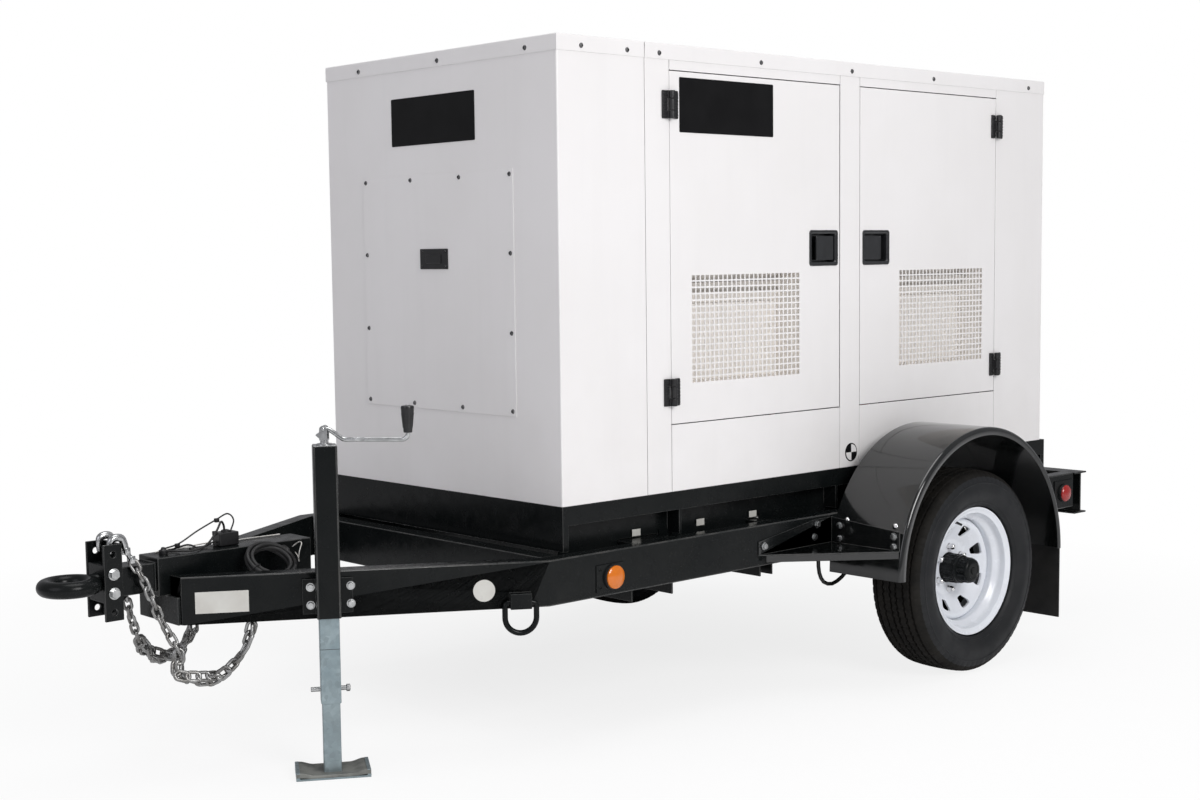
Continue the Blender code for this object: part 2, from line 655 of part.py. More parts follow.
# ---------------------------------------------------------------- jack
def jack():
    """Side-mounted drop-leg jack: outer tube, ram, leg with foot, pin and folding crank."""
    off = JACK_PLATE + JACK_TUBE / 2 + GAP
    x, y = tongue_point(-1, JACK_S, off)
    angle = -BEND
    half = JACK_TUBE / 2
    base = empty("jack_axis", (x, y, 0.0))

    def local(name, low, high, material=None, frame=base):
        """A box given about the jack's axis, with X along the tongue and -Y outboard."""
        obj = box(name, low, high, material, frame)
        obj.location = (0.0, 0.0, -frame["place"][2])
        obj.rotation_euler.z = angle
        return obj

    def hole(name, place, axis, radius, length, frame=base, sides=12, material=None):
        """A round hole or pin about the jack's axis."""
        obj = rod(name, place, axis, radius, length, sides, material, frame)
        obj.location = (0.0, 0.0, -frame["place"][2])
        obj.rotation_euler.z = angle
        return obj

    outer = local("jack_outer_tube", (-half, -half, JACK_BOTTOM), (half, half, JACK_TOP), BLACK)
    bore = half - JACK_WALL
    plate = local("jack_plate", (-0.066, half - 0.001, CANOPY_Z - 0.240),
                  (0.066, half + JACK_PLATE, CANOPY_Z - 0.146))
    join(cut(outer, local("jack_bore", (-bore, -bore, JACK_BOTTOM - 0.01), (bore, bore, JACK_TOP - 0.006)),
             hole("jack_top_hole", (0, 0, JACK_TOP), "Z", 0.0125, 0.1)), plate)

    slide = empty("jack_slide_axis", (x, y, INNER_BOTTOM))
    ram_half = bore - FIT
    ram_bore = ram_half - INNER_WALL
    ram = local("jack_ram", (-ram_half, -ram_half, INNER_BOTTOM), (ram_half, ram_half, INNER_TOP),
                GALVANISED, slide)
    cut(ram, local("ram_bore", (-ram_bore, -ram_bore, INNER_BOTTOM - 0.01),
                   (ram_bore, ram_bore, INNER_TOP - 0.025),
                   frame=slide),
        hole("ram_nut", (0, 0, INNER_TOP), "Z", 0.0094, 0.1, slide),
        hole("ram_pin_hole", (0, 0, PIN_Z), "X", PIN_R + 0.0004, 0.2, slide))

    leg_half = ram_bore - FIT
    leg_bore = leg_half - LEG_WALL
    leg = local("jack_leg", (-leg_half, -leg_half, FOOT_T - 0.001), (leg_half, leg_half, LEG_TOP),
                GALVANISED, slide)
    cut(leg, local("leg_bore", (-leg_bore, -leg_bore, FOOT_T + 0.030), (leg_bore, leg_bore, LEG_TOP + 0.01),
                   frame=slide))
    foot = local("foot_plate", (-FOOT_L / 2, -FOOT_W / 2, 0.0), (FOOT_L / 2, FOOT_W / 2, FOOT_T),
                 frame=slide)
    rim_x = FOOT_L / 2 - 0.005
    ends = []
    for word, side in SIDES.items():
        x0, x1 = side * rim_x - 0.005, side * rim_x + 0.0048
        ends.append(local(f"foot_end_{word}", (x0, 0.0002 - FOOT_W / 2, 0.001),
                          (x1, FOOT_W / 2 - 0.0002, 0.022), frame=slide))
    join(leg, foot, *ends)
    for number in range(5):
        z = PIN_Z + 0.076 * number
        cut(leg, hole(f"leg_hole_{number}", (0, 0, z), "X", PIN_R + 0.0004, 0.2, slide))

    pin_frame = empty("leg_pin_axis", (x, y, PIN_Z), slide)
    pin = hole("leg_pin", (0, 0, PIN_Z), "X", PIN_R, 0.104, pin_frame, 10, ZINC)
    knob = hole("leg_pin_knob", (0.046, 0, PIN_Z), "X", 0.010, 0.010, pin_frame, 10)
    join(pin, knob)

    spin = empty("crank_axis", (x, y, JACK_TOP))
    away = math.radians(CRANK_AZ)
    head_z = (JACK_TOP + CRANK_PIN_Z) / 2 - 0.004
    head = rod("crank_head", (x, y, head_z), "Z", 0.011, CRANK_PIN_Z - JACK_TOP - 0.014, 12, ZINC, spin)
    screw = rod("jack_screw", (x, y, (JACK_TOP + 0.006 + SCREW_BOTTOM) / 2), "Z", 0.0088,
                JACK_TOP + 0.006 - SCREW_BOTTOM, 12, frame=spin)
    washer = rod("crank_washer", (x, y, JACK_TOP + GAP + 0.0025), "Z", 0.021, 0.005, 16, frame=spin)
    join(head, screw, washer)
    for word, side in SIDES.items():
        cheek = box(f"clevis_{word}", (-0.013, side * 0.0105 - 0.002, CRANK_PIN_Z - 0.026),
                    (0.013, side * 0.0105 + 0.002, CRANK_PIN_Z + 0.009), frame=spin)
        cheek.location = (0.0, 0.0, -JACK_TOP)
        cheek.rotation_euler.z = away
        join(head, cheek)
    pin_bar = rod("clevis_pin", (0, 0, CRANK_PIN_Z), "Y", 0.0036, 0.034, 8, frame=spin)
    pin_bar.location = (0.0, 0.0, -JACK_TOP)
    pin_bar.rotation_euler.z = away
    join(head, pin_bar)

    fold = empty("crank_fold_axis", (x, y, CRANK_PIN_Z), spin)
    reach = CRANK_REACH

    def radial(u, z):
        """A place at distance u from the jack's axis in the crank's own plane."""
        return x + u * math.cos(away), y + u * math.sin(away), z

    corner = 0.016
    bend = [radial(reach - corner + corner * math.sin(a), CRANK_ROD_Z + corner - corner * math.cos(a))
            for a in (math.radians(15 * i) for i in range(7))]
    route = [radial(0.0, CRANK_PIN_Z), radial(0.016, CRANK_PIN_Z - 0.004),
             radial(0.042, CRANK_ROD_Z + 0.006),
             radial(0.054, CRANK_ROD_Z), *bend, radial(reach, CRANK_ROD_Z + corner + GRIP_L + 0.004)]
    handle = pipe("crank_handle", route, CRANK_ROD_R, ZINC, fold)
    boss = rod("crank_boss", (0, 0, CRANK_PIN_Z), "Y", 0.0082, 0.0162, 12, frame=fold)
    eye = rod("crank_boss_hole", (0, 0, CRANK_PIN_Z), "Y", 0.0040, 0.05, 8, frame=fold)
    for tool in (boss, eye):
        tool.location = (0.0, 0.0, -CRANK_PIN_Z)
        tool.rotation_euler.z = away
    cut(join(handle, boss), eye)

    grip_z = CRANK_ROD_Z + corner + 0.002
    gx, gy, _ = radial(reach, 0.0)
    grip_frame = empty("crank_grip_axis", (gx, gy, grip_z), fold)
    grip = rod("crank_grip", (gx, gy, grip_z + GRIP_L / 2), "Z", 0.0115, GRIP_L, 16, PLASTIC, grip_frame,
               top=0.0175)
    cut(grip, rod("grip_bore", (gx, gy, grip_z), "Z", CRANK_ROD_R + FIT, 2 * (GRIP_L - 0.004 + 0.008), 12,
                  frame=grip_frame))


def tie_rings():
    """Bent steel rings that hang in the lugs under the tongue."""
    for word, side in SIDES.items():
        x, y = tongue_point(side, RING_S, 0.012)
        z = RAIL_BOTTOM + 0.018
        frame = empty(f"{word}_ring_axis", (x, y, z))
        turn = side * BEND
        drop = 0.083
        points = [(-RING_HALF, -0.012)] + arc((0.0, -drop + RING_HALF), RING_HALF, 180, 360, 8)
        points += [(RING_HALF, -0.012), (RING_HALF - 0.008, 0.0), (-RING_HALF + 0.008, 0.0)]
        places = [(x + u * math.cos(turn), y + u * math.sin(turn), z + v) for u, v in points]
        pipe(f"{word}_ring", places, RING_BAR, BLACK, frame, closed=True)


# ---------------------------------------------------------------- skid base and canopy
def skid():
    """Tank base: deep rim over recessed webs, open underneath."""
    top = CANOPY_Z - GAP
    bottom = top - SKID_H + 2 * GAP
    rear = CANOPY_L + SKID_REAR
    base = box("skid_base", (0.0, -HALF_W, bottom), (rear, HALF_W, top), BLACK)
    web = HALF_W - SKID_RECESS
    cut(base, box("skid_hollow", (0.06, 0.02 - web, bottom - 0.01),
                  (rear - 0.06, web - 0.02, top - DECK_T)))
    for word, side in SIDES.items():
        span = sorted((side * web, side * (HALF_W + 0.01)))
        for number, (x0, x1) in enumerate(((0.022, 0.46), (0.47, 1.18), (1.19, rear - 0.022))):
            cut(base, box(f"skid_recess_{word}_{number}", (x0, span[0], bottom - 0.01),
                          (x1, span[1], top - SKID_RIM)))


def front_box():
    """Front air-outlet box: front wall and two returns, with the bolted access panel."""
    top = CANOPY_TOP - ROOF_SKIRT + 0.035
    walls = box("front_box", (0.0, -HALF_W, CANOPY_Z), (FRONT_BOX_L, HALF_W, top), CREAM)
    room = box("front_box_room", (SHEET, SHEET - HALF_W, CANOPY_Z - 0.01),
               (FRONT_BOX_L + 0.01, HALF_W - SHEET, top + 0.01))
    half = PANEL_W / 2
    hole = box("front_box_hole", (-0.01, 0.03 - half, PANEL_Z[0] + 0.03),
               (0.02, half - 0.03, PANEL_Z[1] - 0.03))
    cut(walls, room, hole)
    box("front_access_panel", (-PANEL_T - GAP, -half, PANEL_Z[0]), (-GAP, half, PANEL_Z[1]), CREAM)


def roof():
    """Folded roof trays over the front box and the main canopy."""
    sections = {"front_roof": (-ROOF_LAP - GAP, FRONT_BOX_L),
                "main_roof": (FRONT_BOX_L + SEAM, CANOPY_L + ROOF_LAP + GAP)}
    half = HALF_W + ROOF_LAP + GAP
    low = CANOPY_TOP - ROOF_SKIRT
    for name, (x0, x1) in sections.items():
        tray = box(name, (x0, -half, low), (x1, half, CANOPY_TOP), CREAM)
        inset = ROOF_LAP
        front_wall = name == "front_roof"
        room_x = (x0 + inset, x1 + 0.01) if front_wall else (x0 - 0.01, x1 - inset)
        room = box(f"{name}_room", (room_x[0], inset - half, low - 0.01),
                   (room_x[1], half - inset, CANOPY_TOP - ROOF_T))
        cut(tray, room)
        if front_wall:
            for number in range(4):
                y = -0.44 + 0.225 * number
                cut(tray, box(f"outlet_{number}", (0.055, y, low), (0.275, y + 0.205, CANOPY_TOP + 0.01)))


def leaf(name, x0, x1, z, side, material=None, frame=origin):
    """One flat hinge leaf on the outside of the canopy."""
    face = HALF_W - 0.0005
    span = sorted((side * face, side * (HALF_W + 0.009)))
    return box(name, (min(x0, x1), span[0], z - HINGE_H / 2), (max(x0, x1), span[1], z + HINGE_H / 2),
               material, frame)


def side_frames():
    """Long canopy sides with their door openings and the fixed hinge halves."""
    top = CANOPY_TOP - ROOF_SKIRT + 0.035
    for word, side in SIDES.items():
        span = sorted((side * (HALF_W - SHEET), side * HALF_W))
        wall = box(f"{word}_side", (FRONT_BOX_L + SEAM, span[0], CANOPY_Z),
                   (CANOPY_L - SHEET - GAP, span[1], top), CREAM)
        openings = (("front", FRONT_DOOR_X, 0), ("rear", REAR_DOOR_X, 1))
        for which, (x0, x1), edge in openings:
            hole = box(f"{word}_{which}_opening", (x0 - DOOR_GAP, span[0] - 0.01, DOOR_Z0 - DOOR_GAP),
                       (x1 + DOOR_GAP, span[1] + 0.01, DOOR_Z1 + DOOR_GAP))
            cut(wall, hole)
            edge_x = (x0 - DOOR_GAP / 2, x1 + DOOR_GAP / 2)[edge]
            away = (-1, 1)[edge]
            axis_y = side * (HALF_W + HINGE_R + 0.001)
            for number, z in enumerate(HINGE_Z):
                tag = f"{word}_{which}_{number}"
                plate = leaf(f"fixed_leaf_{tag}", edge_x + away * 0.0045, edge_x + away * HINGE_W / 2, z,
                             side)
                notch = rod(f"notch_{tag}", (edge_x, axis_y, z), "Z", HINGE_R + 0.0012, 0.0342, 10)
                cut(join(wall, plate), notch)
                for place, low in enumerate((-HINGE_H / 2 + 0.0003, HINGE_H / 2 - 0.0223)):
                    knuckle = rod(f"fixed_knuckle_{tag}_{place}", (edge_x, axis_y, z + low + 0.011), "Z",
                                  HINGE_R, 0.022, 10)
                    join(wall, knuckle)


def rear_wall():
    """Flat rear wall with rolled returns."""
    top = CANOPY_TOP - ROOF_SKIRT + 0.035
    box("rear_wall", (CANOPY_L - SHEET, -HALF_W, CANOPY_Z), (CANOPY_L, HALF_W, top), CREAM)


def doors():
    """Four pan doors with grilles, inlet ducts, latch cups and paddle latches."""
    settings = (("front", FRONT_DOOR_X, FRONT_GRILLE_X, 0), ("rear", REAR_DOOR_X, REAR_GRILLE_X, 1))
    for word, side in SIDES.items():
        for which, (x0, x1), grille_x, edge in settings:
            name = f"{word}_{which}_door"
            edge_x = (x0 - DOOR_GAP / 2, x1 + DOOR_GAP / 2)[edge]
            inward = (1, -1)[edge]
            axis_y = side * (HALF_W + HINGE_R + 0.001)
            frame = empty(f"{name}_axis", (edge_x, axis_y, CANOPY_Z))

            def slab(tag, xs, depths, zs, material=None, parent=frame):
                """A box whose depths count inward from the canopy's outer face."""
                span = sorted((side * (HALF_W - depths[0]), side * (HALF_W - depths[1])))
                return box(tag, (min(xs), span[0], zs[0]), (max(xs), span[1], zs[1]), material, parent)

            door = slab(name, (x0, x1), (0.0, DOOR_DEPTH), (DOOR_Z0, DOOR_Z1), CREAM)
            lining = 0.020
            cut(door, slab(f"{name}_pan", (x0 + lining, x1 - lining), (DOOR_SKIN, DOOR_DEPTH + 0.01),
                           (DOOR_Z0 + lining, DOOR_Z1 - lining)))
            gx0, gx1 = grille_x
            gz0, gz1 = GRILLE_Z
            duct = slab(f"{name}_duct", (gx0 - 0.006, gx1 + 0.006), (0.0008, DUCT_DEPTH),
                        (gz0 - 0.006, gz1 + 0.006))
            join(door, duct)
            throat = slab(f"{name}_throat", (gx0, gx1), (GRILLE_T, DUCT_DEPTH - 0.004), (gz0, gz1 - 0.090))
            upper = slab(f"{name}_upper", (gx0, gx1), (GRILLE_T, DUCT_DEPTH + 0.01), (gz1 - 0.0901, gz1))
            cut(door, throat, upper)
            pitch_x = (gx1 - gx0) / GRILLE_GRID[0]
            pitch_z = (gz1 - gz0) / GRILLE_GRID[1]
            for column in range(GRILLE_GRID[0]):
                for row in range(GRILLE_GRID[1]):
                    wx, wz = gx0 + column * pitch_x + GRILLE_BAR / 2, gz0 + row * pitch_z + GRILLE_BAR / 2
                    cut(door, slab(f"{name}_window_{column}_{row}", (wx, wx + pitch_x - GRILLE_BAR),
                                   (-0.01, GRILLE_T + 0.001), (wz, wz + pitch_z - GRILLE_BAR)))

            free_edge = (x1, x0)[edge]
            lx0 = free_edge - inward * LATCH_INSET
            lx1 = lx0 - inward * LATCH_W
            lz0, lz1 = LATCH_Z - LATCH_H / 2, LATCH_Z + LATCH_H / 2
            low, high = min(lx0, lx1), max(lx0, lx1)
            cup = slab(f"{name}_cup", (low, high), (0.0006, LATCH_DEPTH), (lz0, lz1))
            hollow = slab(f"{name}_cup_room", (low + 0.012, high - 0.012), (-0.01, LATCH_DEPTH - 0.003),
                          (lz0 + 0.012, lz1 - 0.012))
            cut(join(door, cup), hollow)
            for number, z in enumerate(HINGE_Z):
                tag = f"{name}_{number}"
                span = sorted((side * (HALF_W - 0.0005), side * (HALF_W + 0.009)))
                xs = sorted((edge_x + inward * 0.0045, edge_x + inward * HINGE_W / 2))
                plate = box(f"moving_leaf_{tag}", (xs[0], span[0], z - 0.0165),
                            (xs[1], span[1], z + 0.0165), frame=frame)
                knuckle = rod(f"moving_knuckle_{tag}", (edge_x, axis_y, z), "Z", HINGE_R, 0.0330, 10,
                              frame=frame)
                join(door, plate, knuckle)

            room = 0.0160
            pivot = (low + room, high - room)[edge == 0]
            paddle_axis = (pivot, side * (HALF_W - 0.006), LATCH_Z)
            paddle_frame = empty(f"{name}_latch_axis", paddle_axis, frame)
            reach = LATCH_W - 2 * room - 0.022
            far = pivot - reach if edge == 0 else pivot + reach
            slab(f"{name}_latch", (pivot, far), (0.003, 0.009), (lz0 + 0.018, lz1 - 0.018), PLASTIC,
                 paddle_frame)


# ---------------------------------------------------------------- inside the canopy
def power_unit():
    """Engine, alternator, radiator, fan, silencer, battery and control panel."""
    deck = CANOPY_Z + GAP
    half = ENGINE_W / 2
    x0, x1 = ENGINE_X
    block = box("engine", (x0, -half, 0.860), (x1, half, 1.300), IRON)
    sump = box("engine_sump", (x0 + 0.06, 0.04 - half, 0.720), (x1 - 0.10, half - 0.04, 0.861))
    cover = box("rocker_cover", (x0 + 0.03, 0.06 - half, 1.299), (x1 - 0.03, half - 0.06, 1.365))
    join(block, sump, cover)
    for number, x in enumerate((x0 + 0.02, x1 - 0.10)):
        feet = box(f"engine_feet_{number}", (x, -0.240, deck), (x + 0.08, 0.240, 0.675))
        legs = [box(f"engine_leg_{number}_{word}", (x + 0.01, side * 0.150 - 0.030, 0.674),
                    (x + 0.07, side * 0.150 + 0.030, 0.900)) for word, side in SIDES.items()]
        join(block, *legs, feet)
    housing = rod("flywheel_housing", (x1 + 0.020, 0, SHAFT_Z), "X", 0.205, 0.042, 24)
    nose = rod("crank_nose", (x0 - 0.010, 0, SHAFT_Z - 0.100), "X", 0.060, 0.024, 16)
    join(block, housing, nose)
    stub_x = (FAN_X[1] + GAP, x0 + 0.005)
    fan_hub = rod("fan_stub", (sum(stub_x) / 2, 0, SHAFT_Z + 0.060), "X", 0.022, stub_x[1] - stub_x[0], 12)
    join(block, fan_hub)

    alternator = rod("alternator", (sum(ALTERNATOR_X) / 2, 0, SHAFT_Z), "X", ALTERNATOR_R,
                     ALTERNATOR_X[1] - ALTERNATOR_X[0], 24, BLACK)
    terminal = box("terminal_box", (ALTERNATOR_X[0] + 0.12, -0.16, SHAFT_Z + 0.12),
                   (ALTERNATOR_X[1] - 0.02, 0.16, 1.330))
    foot = box("alternator_foot", (ALTERNATOR_X[0] + 0.10, -0.200, deck),
               (ALTERNATOR_X[1] - 0.10, 0.200, 0.890))
    join(alternator, terminal, foot)

    fan_place = ((FAN_X[0] + FAN_X[1]) / 2, 0.0, SHAFT_Z + 0.060)
    fan_frame = empty("fan_axis", fan_place)
    fan = rod("cooling_fan", fan_place, "X", 0.050, FAN_X[1] - FAN_X[0], 16, PLASTIC, fan_frame)
    for number in range(6):
        blade = box(f"fan_blade_{number}", (-0.002, -0.032, 0.035), (0.002, 0.032, FAN_R), frame=fan_frame)
        blade.location = (0.0, 0.0, 0.0)
        pitch = Matrix.Rotation(math.radians(28), 4, "Z")
        turn = Matrix.Rotation(math.radians(60 * number), 4, "X") @ pitch
        blade.matrix_basis = turn
        join(fan, blade)

    rx0, rx1 = RADIATOR_X
    core = box("radiator", (rx0, -0.330, deck), (rx1, 0.330, 1.560), BLACK)
    shroud = rod("radiator_shroud", (rx1 + 0.030, 0, SHAFT_Z + 0.060), "X", FAN_R + 0.030, 0.064, 28)
    shroud_room = rod("radiator_shroud_room", (rx1 + 0.070, 0, SHAFT_Z + 0.060), "X", FAN_R + 0.022, 0.120,
                      28)
    cut(join(core, shroud), shroud_room)

    silencer = rod("silencer", (0.900, 0.0, 1.600), "X", 0.115, 0.560, 20, ALLOY)
    hanger = box("silencer_saddle", (0.780, -0.050, 1.365 + GAP), (1.020, 0.050, 1.520))
    outlet = rod("silencer_outlet", (0.560, 0.0, 1.640), "X", 0.032, 0.140, 14)
    room = rod("silencer_room", (0.900, 0.0, 1.600), "X", 0.107, 0.544, 20)
    bore = rod("silencer_bore", (0.560, 0.0, 1.640), "X", 0.028, 0.300, 14)
    cut(join(silencer, hanger, outlet), room, bore)

    box("battery", (1.930, -0.450, deck), (2.110, -0.130, 0.900), PLASTIC)
    cabinet = box("control_cabinet", (1.760, 0.060, deck), (2.000, 0.400, 1.560), CREAM)
    face = HALF_W - DOOR_DEPTH - 0.030
    screen = box("control_face", (1.770, 0.399, 1.330), (1.990, face, 1.540))
    room = box("cabinet_room", (1.768, 0.068, deck - 0.01), (1.992, 0.392, 1.552))
    cut(join(cabinet, screen), room)


# ---------------------------------------------------------------- chains and cables
def smooth(points, step):
    """Points spaced about a step apart on a Catmull-Rom curve through the given ones."""
    route = [Vector(p) for p in points]
    padded = [2 * route[0] - route[1], *route, 2 * route[-1] - route[-2]]
    result = [route[0]]
    for i in range(1, len(padded) - 2):
        a, b, c, d = padded[i - 1:i + 3]
        count = max(1, round((c - b).length / step))
        for k in range(1, count + 1):
            t = k / count
            result.append(0.5 * ((2 * b) + (c - a) * t + (2 * a - 5 * b + 4 * c - d) * t * t
                                 + (3 * b - a - 3 * c + d) * t ** 3))
    return result


CHAIN_ROUTE = [(-1.0975, 0.0305, 0.610), (-1.0975, 0.0305, 0.632), (-1.0925, 0.0305, 0.6455),
               (-1.0790, 0.0305, 0.6492), (-1.0655, 0.0305, 0.6455), (-1.0600, 0.033, 0.632),
               (-1.0550, 0.038, 0.610), (-1.0450, 0.047, 0.586), (-1.0220, 0.064, 0.530),
               (-0.990, 0.085, 0.430), (-0.955, 0.110, 0.345)]
CHAIN_LOOP = [(-0.180, -0.060, 0.285), (-0.100, -0.040, 0.262), (-0.042, -0.020, 0.300),
              (-0.010, -0.004, 0.350), (0.000, 0.000, 0.385), (0.000, 0.000, RAIL_BOTTOM - GAP)]
CHAIN_END_X = {"left": -0.775, "right": -0.715}


def chains():
    """Safety chains from their hooks over the coupler channel, in loops to the tongue's underside."""
    for word, side in SIDES.items():
        end_x = CHAIN_END_X[word]
        end_y = RAIL_OUT - (BEND_X - end_x) * math.tan(BEND) - RAIL_W / 2 / math.cos(BEND)
        loop = [(end_x + x, end_y + y, z) for x, y, z in CHAIN_LOOP]
        points = [(x, side * y, z) for x, y, z in CHAIN_ROUTE + loop]
        pipe(f"{word}_safety_chain", smooth(points, 0.030), CHAIN_R, ZINC)


COIL_CENTRE = (-0.672, -0.115, 0.546)
COIL_R = 0.060
COIL_HALF = (0.016, 0.012)
COIL_TILT = 35.0          # degrees, outboard side down
LEAD_ROUTE = [(-0.590, -0.0511, 0.562), (-0.590, -0.060, 0.562), (-0.592, -0.072, 0.561),
              (-0.595, -0.085, 0.558),
              (-0.6008, -0.0952, 0.5547)]
BREAKAWAY_ROUTE = [(-0.930, 0.000, 0.598), (-0.880, 0.005, 0.606), (-0.820, 0.012, 0.632),
                   (-0.760, 0.016, 0.655),
                   (-0.722, 0.018, 0.668), (-0.708, 0.010, 0.650), (-0.725, 0.000, 0.615)]


def cables():
    """The trailer cable with its coil and plug, and the breakaway cable with its switch."""
    x, y, _ = COIL_CENTRE
    ring = [(COIL_R, COIL_HALF[0]), (COIL_R + COIL_HALF[1], 0.0), (COIL_R, -COIL_HALF[0]),
            (COIL_R - COIL_HALF[1], 0.0)]
    turned("trailer_cable_coil", ring, COIL_CENTRE, COIL_TILT, RUBBER, segments=20)
    pipe("trailer_cable", smooth(LEAD_ROUTE, 0.012), CABLE_R, RUBBER)
    plug = rod("trailer_plug", (x - 0.028, y - 0.042, 0.461), "Z", 0.0175, 0.060, 14, PLASTIC)
    neck = rod("trailer_plug_neck", (x - 0.028, y - 0.042, 0.495), "Z", 0.0100, 0.010, 12)
    join(plug, neck)

    switch = box("breakaway_switch", (-0.765, -0.012, BAR_TOP + GAP), (-0.705, 0.030, BAR_TOP + 0.042),
                 PLASTIC)
    post = rod("breakaway_knob", (-0.930, 0.000, BAR_TOP + GAP + 0.010), "Z", 0.012, 0.020, 12)
    join(switch, pipe("breakaway_cable", smooth(BREAKAWAY_ROUTE, 0.018), 0.003), post)


def build():
    """Model every piece."""
    rails()
    cross_members()
    drawbar()
    coupler()
    bumper()
    axle()
    wheels()
    fenders()
    jack()
    tie_rings()
    skid()
    front_box()
    roof()
    side_frames()
    rear_wall()
    doors()
    power_unit()
    chains()
    cables()


build()
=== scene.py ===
"""Looks of the towable diesel generator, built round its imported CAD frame."""
from math import atan2, cos, hypot, pi, radians, sin

import bmesh
import bpy
from mathutils import Matrix, Vector


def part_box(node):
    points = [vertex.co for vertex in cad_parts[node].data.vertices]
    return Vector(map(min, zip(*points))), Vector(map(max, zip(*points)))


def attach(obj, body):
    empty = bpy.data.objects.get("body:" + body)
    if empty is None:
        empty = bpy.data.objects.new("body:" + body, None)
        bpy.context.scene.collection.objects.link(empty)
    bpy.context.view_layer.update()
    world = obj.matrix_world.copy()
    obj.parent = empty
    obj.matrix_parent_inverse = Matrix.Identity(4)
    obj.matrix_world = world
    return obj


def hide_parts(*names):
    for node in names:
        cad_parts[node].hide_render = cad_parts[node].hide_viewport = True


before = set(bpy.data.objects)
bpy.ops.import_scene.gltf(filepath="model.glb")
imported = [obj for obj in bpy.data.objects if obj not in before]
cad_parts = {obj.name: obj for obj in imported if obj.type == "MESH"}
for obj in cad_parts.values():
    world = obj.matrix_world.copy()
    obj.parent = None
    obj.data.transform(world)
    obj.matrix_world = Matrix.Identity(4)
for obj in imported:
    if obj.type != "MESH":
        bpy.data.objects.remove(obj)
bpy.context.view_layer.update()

# ---------------------------------------------------------------- places in the trailer frame
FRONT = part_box("front_box")[0]
OX, CZ = FRONT.x, FRONT.z        # canopy front face, canopy underside
SIDES = {"left": -1, "right": 1}
HALF_W = 0.549                   # canopy
LENGTH = 2.345
TOP = CZ + 1.2955
DOOR_Z = (CZ + 0.199, CZ + 1.22)
# each door's ends, then its grille's
DOORS = {"front": ((0.433, 1.198), (0.52, 1.002)), "rear": ((1.302, 2.051), (1.508, 1.976))}
GRILLE_Z = (CZ + 0.316, CZ + 0.632)
HINGE_Z = (CZ + 0.293, CZ + 1.123)
LATCH_Z = CZ + 0.708
RAIL_TOP = CZ - 0.128
RAIL_BOTTOM = RAIL_TOP - 0.127
RAIL_OUT = 0.612
BEND_X = -0.106
BEND = atan2(RAIL_OUT - 0.106, BEND_X + 0.94)
COS, SIN = cos(BEND), sin(BEND)
BEND_AXIS = Matrix.Rotation(-BEND, 4, "Z")
WHEEL = (1.494, 0.786, 0.328)
FENDER = (1.516, 0.35)          # centre of its arc
FENDER_R = 0.444
JACK = (-0.63803, -0.33605)
CRANK_TURN = radians(-48.5)
CAMERA = (OX - 3.194, -4.1403, CZ + 0.6965)


# ---------------------------------------------------------------- materials
DUST = (0.34, 0.31, 0.27)


